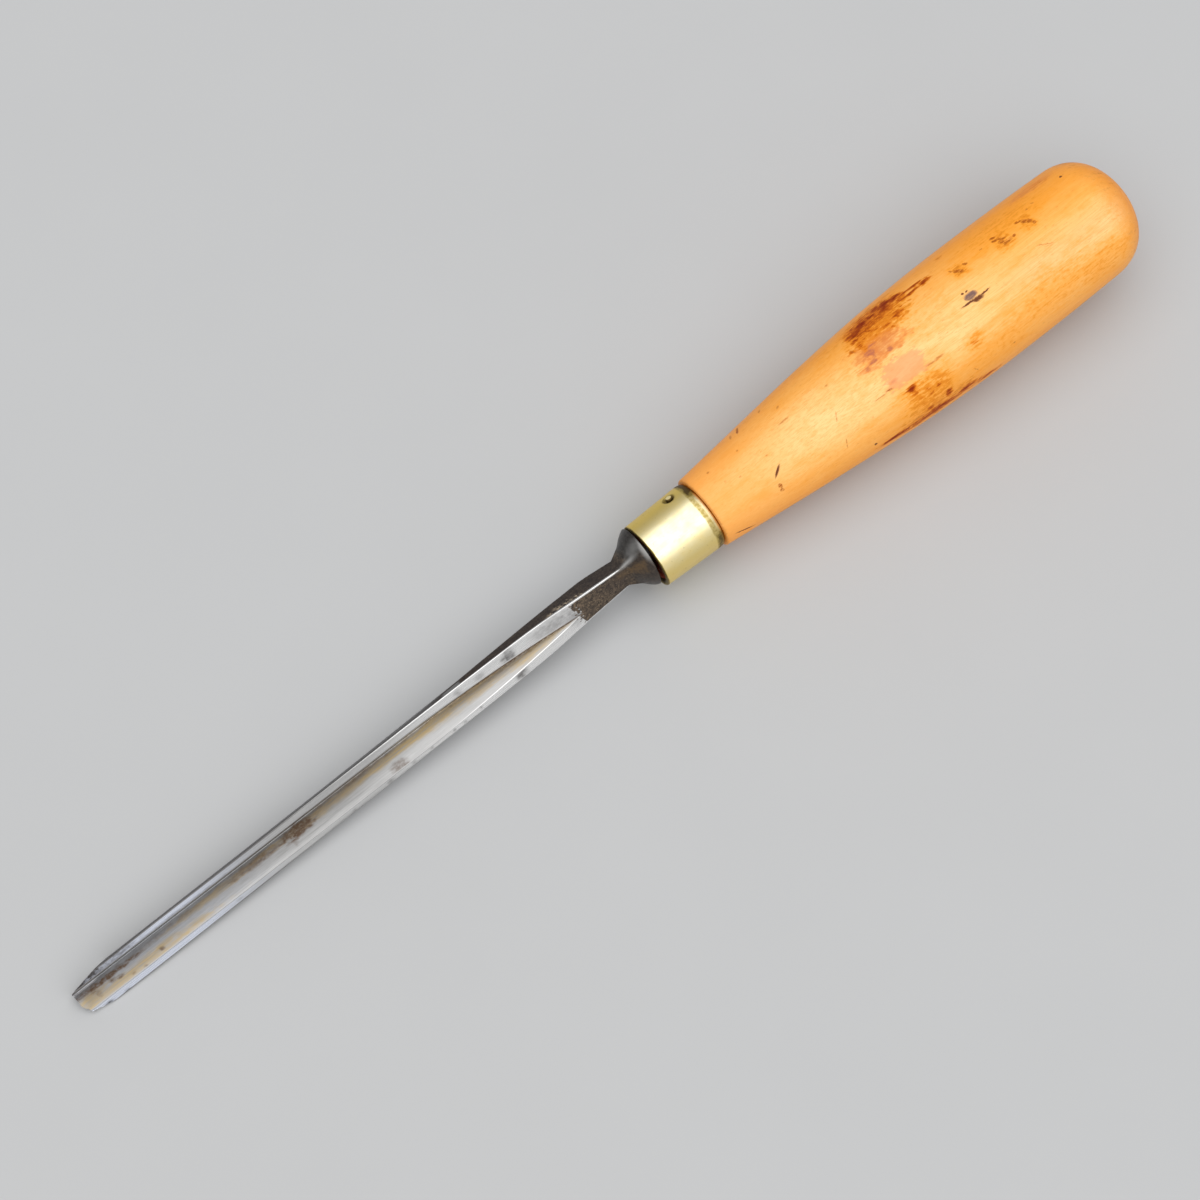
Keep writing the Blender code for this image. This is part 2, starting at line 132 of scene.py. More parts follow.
# Gouges and cracks in the handle: x, angle, half length, half width, turn from the grain, depth
CUTS = (
    (30.85, -31.2, 1.55, 0.3, 41, 0.25), (19.4, -82.6, 2.4, 0.22, -17, 0.05),
    (52, -77, 0.4, 0.32, -40, 0.15), (118.5, 33, 0.4, 0.34, 30, 0.12),
    (84.2, -12.8, 2.3, 0.24, -3, 0.16), (88.1, -13.4, 1.5, 0.22, 4, 0.14),
    (86.2, -14.2, 1.5, 0.55, -6, 0.28), (84.2, -2.9, 0.42, 0.24, 0, 0.08),
    (85.2, -3.3, 0.36, 0.2, 10, 0.08),
)
# Small nicks, rusty at the bottom, in the same terms
NICKS = (
    (30.7, 51.5, 1.5, 0.32, 65, 0.12), (29.8, -48.9, 0.45, 0.7, 20, 0.05),
    (29.75, -55.5, 0.45, 0.5, 40, 0.05), (59.6, -31.8, 1, 0.24, -3, 0.08),
    (86.7, 17.8, 0.75, 0.42, -30, 0.1), (87.3, 15.4, 0.85, 0.45, -42, 0.1),
    (85.9, 20.8, 0.55, 0.3, -50, 0.06), (89.2, 18, 0.6, 0.32, -40, 0.06),
    (97.6, 22, 0.75, 0.32, -20, 0.06), (97.4, 18.6, 0.7, 0.34, -16, 0.06),
    (98.8, 16.6, 1, 0.44, -32, 0.1), (98.3, 13.6, 0.85, 0.42, -20, 0.08),
    (99.4, 10.6, 1.3, 0.52, 2, 0.14), (101.2, 10.8, 0.5, 0.3, 0, 0.05),
    (104.1, 19.6, 0.95, 0.36, -10, 0.08), (105.1, 16.4, 0.95, 0.55, -45, 0.14),
    (105.9, 13.4, 0.75, 0.52, -40, 0.12), (106.5, 9.4, 0.45, 0.4, 30, 0.08),
)
# Fainter scratches and specks, in the same terms without a depth
SCRATCHES = (
    (47.3, -21.3, 1.1, 0.17, 62), (58.8, 20, 0.9, 0.22, -70), (78.3, -69, 0.9, 0.15, -60),
    (105, -12.6, 2, 0.12, -26), (105.3, -15.2, 1, 0.1, -24), (38.3, 10.5, 1.4, 0.28, 0),
    (28.7, 50.5, 0.9, 0.3, 70), (36.7, 48, 0.8, 0.3, 60), (27.2, 21, 0.3, 0.25, 0),
    (19.7, 26, 0.35, 0.3, 0), (39.6, 30, 0.5, 0.3, 30), (49.8, 10, 0.4, 0.22, 0),
    (21, -2, 0.3, 0.25, 0), (24, -9, 0.35, 0.2, 0), (31, -8.5, 0.3, 0.2, 0),
    (46.2, -52, 1.3, 0.16, 75), (88.5, -71, 0.3, 0.22, 0), (96.5, -75, 0.3, 0.25, 0),
    (109.5, 27, 0.5, 0.25, -20), (107.5, 25, 0.4, 0.2, 0), (94, 20, 0.4, 0.22, 0),
    (57.2, -32.2, 1.6, 0.16, -2), (71, -34.6, 2.4, 0.3, 0),
)
# The flattened grey dent beside the long slash
DENT = (85.3, -8.4, 1.7, 0.85)

# Marks on the handle: the field, how ragged, soft and square they are, and rows of strength, x, angle,
# half length, half width and, for some, the turn from the grain
MARKS = (
    # The dark stain on the far side, its cores and its two trailing streaks
    ("stain_and_shade", (0.45, 0.5, 3), ((0.54, 67.4, 37.5, 8.8, 3.4),)),
    ("stain_and_shade", (0.6, 0.6, 3), ((0.3, 65, 24, 6.8, 2.8),)),
    ("stain_and_shade", (0.6, 0.9, 2), (
        (1, 62, 35.6, 2.6, 1.5), (0.95, 64.8, 41, 2.2, 1.5), (0.8, 67.4, 40.5, 2.2, 1.2),
        (0.8, 69.6, 45.8, 1.8, 1.1), (0.95, 71.4, 43.4, 2.3, 1.5), (0.95, 73.6, 39.2, 2.6, 1.2),
        (0.8, 70.4, 38, 1.6, 1), (0.55, 71.6, 21.5, 1.7, 2), (0.46, 60.9, 21, 1.1, 3),
        (0.85, 80.4, 30.8, 2.1, 0.8), (0.55, 60.2, 27, 1.2, 0.8), (0.5, 58.7, 20.5, 0.9, 0.7),
        (0.75, 61.1, 28.5, 0.9, 0.5, -40), (0.7, 64.4, 27.2, 1, 0.5, -35),
        (0.6, 66, 22.3, 0.9, 0.4, -20), (0.65, 67.9, 18.8, 1, 0.45), (0.6, 68.7, 13.3, 0.7, 0.45, -30),
        (0.7, 70.8, 19.9, 1.1, 0.5, -40), (0.7, 73.1, 24.7, 0.8, 0.5, -20),
        (0.55, 75.2, 24.4, 0.8, 0.4, -30), (0.6, 62.6, 23, 0.7, 0.4), (0.6, 69.6, 26.5, 0.9, 0.4, -20),
    )),
    ("stain_and_shade", (0.55, 0.9, 2), (
        (0.8, 77, 35.6, 5.6, 0.46, -4.5), (0.75, 77, 30.2, 5.6, 0.46, -0.6),
    )),
    # Golden tints round it and elsewhere
    ("wash", (0.5, 0.6, 3), (
        (1, 67.4, 33.5, 9.2, 6.4), (0.7, 61.2, 18, 2.2, 4.4), (0.7, 68, -82, 12, 2.6),
        (0.6, 65, 21, 7, 3.2), (0.35, 57, 42, 7, 3), (0.6, 67, -60, 7.6, 6.4),
        (0.45, 80.6, -44, 3, 2.4), (0.36, 102, -50, 15, 6), (0.34, 86, -62, 12, 4.6),
        (0.65, 87.3, 17, 2.4, 2.4), (0.65, 98.8, 14.5, 3, 3), (0.65, 105.3, 15, 2.4, 2.8),
        (0.4, 101, 30, 16, 5), (0.4, 114, -60, 10, 5), (0.2, 65, 6, 21, 6),
    )),
    # The rubbed red patch below it and the paler pink one
    ("flush", (0.7, 0.5, 3), ((0.58, 63.4, 6.5, 6.6, 3.6),)),
    ("flush", (0.4, 0.8, 2), ((0.45, 112, 47, 7, 1.6), (0.55, 57.9, -3.2, 1.6, 0.6))),
    ("flush", (0.5, 0.9, 2), (
        (1, 61, 8, 2.6, 1.1), (0.95, 61.5, 5, 0.8, 2.4), (1, 60.6, -1.4, 1.9, 0.8),
        (0.95, 64.9, -1.8, 1.2, 1), (0.75, 58.6, -3.8, 1.2, 0.9), (0.85, 62.2, 12.5, 3, 0.6),
        (0.85, 61.2, -27.5, 1.3, 0.5),
    )),
    ("blush", (0.5, 0.25, 6), ((0.95, 64.6, -24.8, 5.3, 2.8),)),
    ("blush", (0.6, 0.3, 5), ((0.9, 63.2, -20, 3.4, 2.2),)),
    # Dark spots towards the bench, and a darker line along the lower edge
    ("stain_and_shade", (0.5, 0.9, 2), (
        (1, 63.7, -43, 1.35, 0.85), (0.45, 64.1, -49.5, 1.6, 0.9), (0.6, 66.8, -53.5, 1.1, 0.5),
        (0.6, 69.2, -57, 1, 0.55), (0.5, 67.3, -60, 1.1, 0.5), (0.85, 70.9, -73, 1.2, 1.7),
        (0.65, 66, -77, 1.2, 0.7), (0.95, 57.6, -87, 5.8, 1), (0.62, 67, -88, 15, 1.7),
        (0.8, 68.5, -86, 5.5, 1.3), (0.85, 75, -85, 3.4, 1.2), (0.6, 81, -91, 4.4, 1),
        (0.4, 80.4, -43, 1.6, 0.7), (0.32, 87, 45.5, 1.4, 0.7), (0.2, 114.5, 46, 4.2, 2),
    )),
    ("stain_and_shade", (0.7, 0.7, 3), ((0.2, 67, -63, 6.4, 5.6),)),
    # The dent, and the depth of every cut
    ("ash", (0.16, 0.25, 2), ((1, *DENT),)),
    ("dent", (0.15, 0.6, 2), ((0.18, *DENT),)),
    ("dent", (0.2, 0.8, 2), [(depth, *place) for *place, depth in CUTS + NICKS]),
)

# Golden and brown stains in the groove: strength, x, share of the groove's height, and half sizes
TAN_SPOTS = (
    (1, -137, 0.82, 24, 0.28), (1, -54, 0.25, 30, 0.24), (0.8, -82, 0.26, 24, 0.22),
    (0.6, -40, 0.45, 16, 0.26), (1, -127.2, 0.72, 2.4, 0.16), (0.9, -144, 0.64, 5.5, 0.4),
    (0.7, -112, 0.3, 16, 0.16), (0.8, -29, 0.72, 10, 0.26),
)
RUST_SPOTS = (
    (1, -140.5, 0.29, 10.5, 0.13), (0.25, -126, 0.24, 12, 0.12), (1.4, -91.4, 0.3, 4.4, 0.3),
    (0.4, -93.2, 0.7, 0.5, 0.14), (0.55, -101.5, 0.33, 7.5, 0.18), (0.45, -76, 0.09, 14, 0.1),
    (0.4, -50, 0.06, 16, 0.07), (0.4, -29, 0.58, 6, 0.1), (0.45, -33, 0.42, 9, 0.08),
    (0.55, -67, 0.8, 2.2, 0.22), (0.95, -138.7, 0.55, 0.9, 0.09), (0.75, -136.9, 0.61, 0.9, 0.09),
    (0.7, -127.2, 0.78, 0.6, 0.1), (0.6, -143.2, 0.46, 0.9, 0.06), (0.5, -131.8, 0.92, 0.6, 0.06),
    (0.45, -142.4, 0.62, 0.6, 0.18), (0.45, -134.6, 0.86, 0.6, 0.07), (0.5, -51.2, 0.2, 0.5, 0.06),
)
# Grey smudges on the rims, with the side u in place of the height
SMUDGES = (
    (1, -144.9, -3.7, 3.3, 1.9), (1, -142.2, -3.5, 2, 0.7), (1, -142, -4, 1.9, 1.2),
    (0.6, -137.5, -4, 8.5, 1.6), (1, -140.3, -3.8, 1.7, 1.1), (0.7, -138, -3.3, 8, 0.5),
    (0.5, -124, -3.3, 18, 0.4), (0.4, -136.5, -3.6, 0.7, 1), (0.9, -142, 4.2, 1.2, 0.7),
    (0.6, -137.6, 4.5, 0.7, 0.4), (0.35, -109, 3.9, 0.8, 0.4), (0.75, -36.2, -2.4, 2.1, 1.7),
    (0.75, -35.6, 2.8, 1.8, 1.6), (0.42, -48.9, -3.1, 1.1, 0.9), (0.36, -43.5, -3, 1.3, 0.8),
    (0.4, -25, -1.6, 6, 2.4), (0.45, -20.3, -0.3, 2.2, 2.6), (0.6, -46.4, 3.3, 0.35, 0.8),
    (0.5, -50.7, 4, 0.5, 0.5), (0.5, -53.6, 3.9, 0.6, 0.5), (0.4, -59.5, 3.9, 0.6, 0.4),
    (0.5, -64.2, 4, 0.7, 0.5), (0.5, -70.4, 4.1, 1.2, 0.6), (0.4, -79.8, 4.2, 0.9, 0.5),
)


def ramp(low, high, value):
    share = np.clip((value - low) / (high - low), 0, 1)
    return share * share * (3 - 2 * share)


def fade(low, high, value):
    return 1 - ramp(low, high, value)


def band(value, low, high, fall, end):
    """1 between high and fall, and 0 below low and beyond end."""
    return ramp(low, high, value) * fade(fall, end, value)


def lattice(i, j, k, seed):
    """A repeatable number from 0 to 1 for each whole-numbered point."""
    n = (i * 374761393 + j * 668265263 + k * 1440662683 + seed * 974634599) & 0xFFFFFFFF
    n = ((n ^ (n >> 13)) * 1274126177) & 0xFFFFFFFF
    return ((n ^ (n >> 16)) & 0xFFFF) / 0xFFFF


def noise(x, y, z=0, seed=0):
    """Smooth value noise from -1 to 1."""
    x, y, z = np.broadcast_arrays(x, y, z)
    cell = [np.floor(c).astype(np.int64) for c in (x, y, z)]
    part = [c - f for c, f in zip((x, y, z), cell)]
    part = [p * p * (3 - 2 * p) for p in part]
    total = 0
    for step in np.ndindex(2, 2, 2):
        weight = 1
        for p, s in zip(part, step):
            weight = weight * (p if s else 1 - p)
        total = total + weight * lattice(*(c + s for c, s in zip(cell, step)), seed)
    return 2 * total - 1


def fbm(x, y, z=0, seed=0):
    """Noise with two rounds of finer noise added to it, from about -1 to 1."""
    total, size, reach = 0, 1, 0
    for octave in range(3):
        scale = 2.03**octave
        total = total + size * noise(x * scale, y * scale, z * scale, seed + octave)
        reach += size
        size *= 0.55
    return total / reach


def bezier(points, steps):
    """Points on the cubic curve that four control points give."""
    t = np.linspace(0, 1, steps)[:, None]
    p = np.array(points, float)
    return (1 - t) ** 3 * p[0] + 3 * (1 - t) ** 2 * t * p[1] + 3 * (1 - t) * t**2 * p[2] + t**3 * p[3]


def around_x(x, radius, turn):
    """Points at stations x and radii, turned about X from straight up."""
    return np.stack(np.broadcast_arrays(x, radius * np.sin(turn), radius * np.cos(turn)), -1)


def turn_x(angle):
    return Matrix.Rotation(angle, 4, "X")


TOOL = Matrix.Translation(FERRULE_FRONT) @ Matrix.Rotation(-TILT, 4, "Y")
TIP_HALF, TIP_SIDE, TIP_DEPTH, TIP_KEEL = BLADE_STATIONS[0, 1:] / (2, 1, 1, 2)
WING_ANGLE = math.atan2(TIP_DEPTH - TIP_SIDE, TIP_HALF - TIP_KEEL)
SEAT = (
    Matrix.Translation((0, 0, LIFT * MM))
    @ TOOL
    @ Matrix.Translation((0, SEAT_OFFSET * MM, 0))
    @ Matrix.Rotation(SEAT_YAW, 4, "Z")
    @ turn_x(WING_ANGLE)
)


def link(name, data):
    made = bpy.data.objects.new(name, data)
    bpy.context.scene.collection.objects.link(made)
    return made


def skin(name, rings, matrix, fields, loop=False, start=None):
    """A smooth mesh over rings of points in millimetres, with each field stored as an attribute.

    With loop, the last ring joins the first one. Otherwise the first and last rings are filled, the
    first one with the faces given as start, if any.
    """
    rows, columns = rings.shape[:2]
    points = rings.reshape(-1, 3) * MM @ np.array(matrix.to_3x3()).T + np.array(matrix.translation)
    row = np.arange(rows if loop else rows - 1)[:, None] * columns
    column = np.arange(columns)[None]
    after = (column + 1) % columns
    below = (row + columns) % (rows * columns)
    quads = np.stack([row + column, row + after, below + after, below + column], -1).reshape(-1, 4)
    a, b, c, d = (points[quads[:, i]] for i in range(4))
    volume = np.einsum("ij,ij->", a, np.cross(b, c)) + np.einsum("ij,ij->", a, np.cross(c, d))
    faces = quads.tolist()
    if not loop:
        faces += start or [list(range(columns))[::-1]]
        faces.append(list(range((rows - 1) * columns, rows * columns)))
    if volume < 0:
        faces = [face[::-1] for face in faces]
    mesh = bpy.data.meshes.new(name)
    mesh.from_pydata(points.tolist(), [], faces)
    for field, values in fields.items():
        made = mesh.attributes.new(field, "FLOAT", "POINT")
        made.data.foreach_set("value", np.clip(values, 0, 1).astype(np.float32).ravel())
    mesh.shade_smooth()
    return link(name, mesh)


class Nodes:
    """Short calls that build the node tree of a world or a material. Inputs are sockets or plain values."""

    def __init__(self, owner):
        owner.use_nodes = True
        self.tree = owner.node_tree

    def node(self, kind, inputs=(), **settings):
        made = self.tree.nodes.new("ShaderNode" + kind)
        for key, value in settings.items():
            setattr(made, key, value)
        for key, value in dict(inputs).items():
            self.put(made.inputs[key], value)
        return made

    def put(self, socket, value):
        if isinstance(value, bpy.types.NodeSocket):
            self.tree.links.new(value, socket)
        else:
            socket.default_value = (*value, 1) if np.size(value) == 3 and socket.type == "RGBA" else value

    def math(self, operation, a, b=0.5, c=0.5, clamp=False):
        return self.node("Math", {0: a, 1: b, 2: c}, operation=operation, use_clamp=clamp).outputs[0]

    times = partialmethod(math, "MULTIPLY")
    plus = partialmethod(math, "ADD")
    less = partialmethod(math, "SUBTRACT")
    most = partialmethod(math, "MAXIMUM")
    scaled = partialmethod(math, "MULTIPLY_ADD")


class Finish(Nodes):
    """One material in millimetres of a frame, with a colour that is laid on in coats."""

    def __init__(self, name, matrix):
        self.material = bpy.data.materials.new(name)
        super().__init__(self.material)
        inputs = {
            "Vector": self.node("TexCoord").outputs["Object"],
            "Location": matrix.translation,
            "Rotation": matrix.to_euler(),
            "Scale": (MM, MM, MM),
        }
        self.place = self.node("Mapping", inputs, vector_type="TEXTURE").outputs[0]
        self.colour = None

    def stretch(self, along, across):
        """The place with X and the two directions across it scaled."""
        factor = (along, across, across)
        return self.node("VectorMath", {0: self.place, 1: factor}, operation="MULTIPLY").outputs[0]

    def dot(self, vector, other):
        return self.node("VectorMath", {0: vector, 1: other}, operation="DOT_PRODUCT").outputs["Value"]

    def field(self, name):
        return self.node("Attribute", attribute_name=name).outputs["Fac"]

    def noise(self, vector, scale=1, detail=3, roughness=0.55):
        inputs = {"Vector": vector, "Scale": scale, "Detail": detail, "Roughness": roughness}
        return self.node("TexNoise", inputs).outputs[0]

    def streaked(self, along, across, detail=3, roughness=0.55):
        """Noise drawn out along X."""
        return self.noise(self.stretch(along, across), 1, detail, roughness)

    def range(self, value, low, high, to_low=0, to_high=1):
        inputs = {0: value, 1: low, 2: high, 3: to_low, 4: to_high}
        return self.node("MapRange", inputs).outputs[0]

    def mix(self, share, a, b, blend="MIX"):
        inputs = {0: share, 6: a, 7: b}
        return self.node("Mix", inputs, data_type="RGBA", blend_type=blend).outputs[2]

    def blend(self, share, a, b):
        return self.node("Mix", {0: share, 2: a, 3: b}, data_type="FLOAT").outputs[0]

    def coat(self, share, colour):
        self.colour = self.mix(share, self.colour, colour)

    def tint(self, share, factor):
        self.coat(share, self.mix(1, self.colour, factor, "MULTIPLY"))

    def bump(self, height, strength, distance, normal=None):
        inputs = {"Height": height, "Strength": strength, "Distance": distance * MM}
        if normal:
            inputs["Normal"] = normal
        return self.node("Bump", inputs).outputs[0]

    def finish(self, **inputs):
        shader = self.tree.nodes["Principled BSDF"]
        for key, value in {"Base_Color": self.colour, **inputs}.items():
            self.put(shader.inputs[key.replace("_", " ")], value)
        return self.material


def handle_radius(x):
    """The handle's outline from the shoulder's rounding to the dome's edge."""
    fall = (DOME_X - BELLY_X) / 3
    run = (BELLY_X - SHOULDER_X) * TAPER_LEAD
    start = SHOULDER_X + SHOULDER_ROUNDING
    belly = (BELLY_X, BELLY_RADIUS)
    lead = (start + run, SHOULDER_RADIUS + SHOULDER_SLOPE * run)
    tail = (DOME_X - fall, DOME_RADIUS - DOME_SLOPE * fall)
    taper = bezier(((start, SHOULDER_RADIUS), lead, (BELLY_X - run, BELLY_RADIUS), belly), 200)
    back = bezier((belly, (BELLY_X + fall, BELLY_RADIUS), tail, (DOME_X, DOME_RADIUS)), 80)
    return np.interp(x, *np.concatenate([taper, back[1:]]).T)


def ferrule_radius(x):
    return FERRULE_FRONT_RADIUS + (FERRULE_REAR_RADIUS - FERRULE_FRONT_RADIUS) * x / FERRULE_LENGTH


def spigot_radius(x):
    return ferrule_radius(x) - FERRULE_WALL - GAP


def wear(x, angle, radius):
    """The handle's stains, dents, dirt and painted shade on a grid of stations and degrees about the axis,
    up being 0.
    """
    arc = np.radians(angle) * radius
    ragged = fbm(x * 0.55, arc * 1.6, seed=3)
    fine = fbm(x * 1.3, arc * 4, seed=9)
    fields = {name: np.zeros_like(x) for name in (*HANDLE_FIELDS, "dent")}
    for field, (rag, soft, square), rows in MARKS:
        for strength, at, bearing, length, width, *turn in rows:
            turn = math.radians(turn[0] if turn else 0)
            c, s = math.cos(turn), math.sin(turn)
            along, across = x - at, np.radians(angle - bearing) * radius
            reach = np.abs((along * c + across * s) / length) ** square
            reach = reach + np.abs((across * c - along * s) / width) ** square
            reach = reach ** (1 / square) + rag * (0.6 * ragged + 0.5 * fine)
            fields[field] = np.maximum(fields[field], strength * fade(1 - soft, 1 + 0.4 * soft, reach))
    # Dirt round the butt's edge, darker against the ferrule, painted shade along the dome's far edge, and
    # faint handling dirt all over
    rim = ramp(119.5, 124.5, x) * (1 - 0.6 * ramp(126.5, 129.3, x))
    specks = ramp(0.1, 0.45, fine) * ramp(-0.25, 0.35, ragged)
    far_edge_shade = band(angle, 44, 62, 95, 140) * fade(124.5, 127.5, x)
    grime_and_shade = rim * (0.06 + 0.4 * specks + 0.85 * far_edge_shade) + 0.3 * fade(15.2, 15.8, x)
    fields["grime_and_shade"] = grime_and_shade + 0.2 * specks * ramp(30, 75, np.abs(angle + 17))
    return fields


def make_handle():
    angle = np.concatenate([np.linspace(*SEEN), np.linspace(*HIDDEN)[1:-1]])
    dome = np.linspace(QUARTER_TURN, 0, DOME_RINGS)[1:]
    power = 2 / DOME_FULLNESS
    butt = BUTT_X - SKIN
    grip_x = np.linspace(DOME_X, SHOULDER_X + SHOULDER_ROUNDING, GRIP_RINGS)[1:]
    edge = np.linspace(0, QUARTER_TURN, EDGE_RINGS)[1:]
    x = np.concatenate([
        [butt],
        DOME_X + (butt - DOME_X) * np.sin(dome) ** power,
        grip_x,
        SHOULDER_X + SHOULDER_ROUNDING * (1 - np.sin(edge)),
    ])
    radius = np.concatenate([
        [BUTT_FLAT],
        DOME_RADIUS * np.cos(dome) ** power,
        handle_radius(grip_x),
        SHOULDER_RADIUS - SHOULDER_ROUNDING * (1 - np.cos(edge)),
    ])
    x, angle_grid = np.meshgrid(x, angle, indexing="ij")
    turn = np.radians(angle_grid)
    radius = np.repeat(radius[:, None], len(angle), 1)
    fields = wear(x, angle_grid, np.maximum(radius, 1))
    uneven = 0.03 * (1 + noise(x * 0.09, np.sin(turn) * 2, np.cos(turn) * 2, 5))
    rubbed = 0.012 * (1 + fbm(x * 0.3, turn * radius * 0.8, seed=21))
    radius = radius - ramp(0.3, 3, radius) * (fields.pop("dent") + uneven + rubbed)
    # The spigot under the ferrule, and the tang's socket, square in the blade's frame
    column = turn[0]
    middle = SHOULDER_X / 2
    inside = [around_x(at, reach, column) for at, reach in (
        (SHOULDER_X, spigot_radius(SHOULDER_X)),
        (middle, spigot_radius(middle)),
        (SPIGOT_RECESS + SPIGOT_CHAMFER, spigot_radius(0)),
        (SPIGOT_RECESS, spigot_radius(0) - SPIGOT_CHAMFER),
        (SPIGOT_RECESS, SOCKET_MOUTH),
    )]
    base, end = TANG_BASE / 2 + GAP, TANG_END / 2 + GAP
    square = np.maximum(np.abs(np.sin(column + WING_ANGLE)), np.abs(np.cos(column + WING_ANGLE)))
    for half, at in ((base, SPIGOT_RECESS), (end, TANG_LENGTH - TANG_POINT), (end * 0.6, TANG_LENGTH)):
        seat = (0, SEAT_OFFSET + at * math.tan(SEAT_YAW), 0)
        inside.append(around_x(at, half / square, column) + seat)
    rings = np.concatenate([around_x(x, radius, turn), np.array(inside)])
    # The spigot and socket inside get the full stain share: painted shade for the gap between bolster and
    # ferrule
    for name, values in fields.items():
        bare = np.full((len(inside), len(angle)), float(name == "stain_and_shade"))
        fields[name] = np.concatenate([values, bare])
    return skin("boxwood_handle", rings, TOOL, fields)


def strokes(n, around, places):
    """A shader share that is 1 inside any of the given strokes on the handle."""
    nearest = 9
    for x, angle, length, width, turn, *_ in places:
        radius, angle, turn = float(handle_radius(x)), math.radians(angle), math.radians(turn)
        c, s = math.cos(turn), math.sin(turn)
        along = n.dot(around, (c / length, s * radius / length, -(c * x + s * radius * angle) / length))
        across = n.dot(around, (-s / width, c * radius / width, (s * x - c * radius * angle) / width))
        reach = n.scaled(across, across, n.times(along, along))
        nearest = n.math("MINIMUM", reach, nearest)
    return n.range(nearest, 1.35, 0.35)


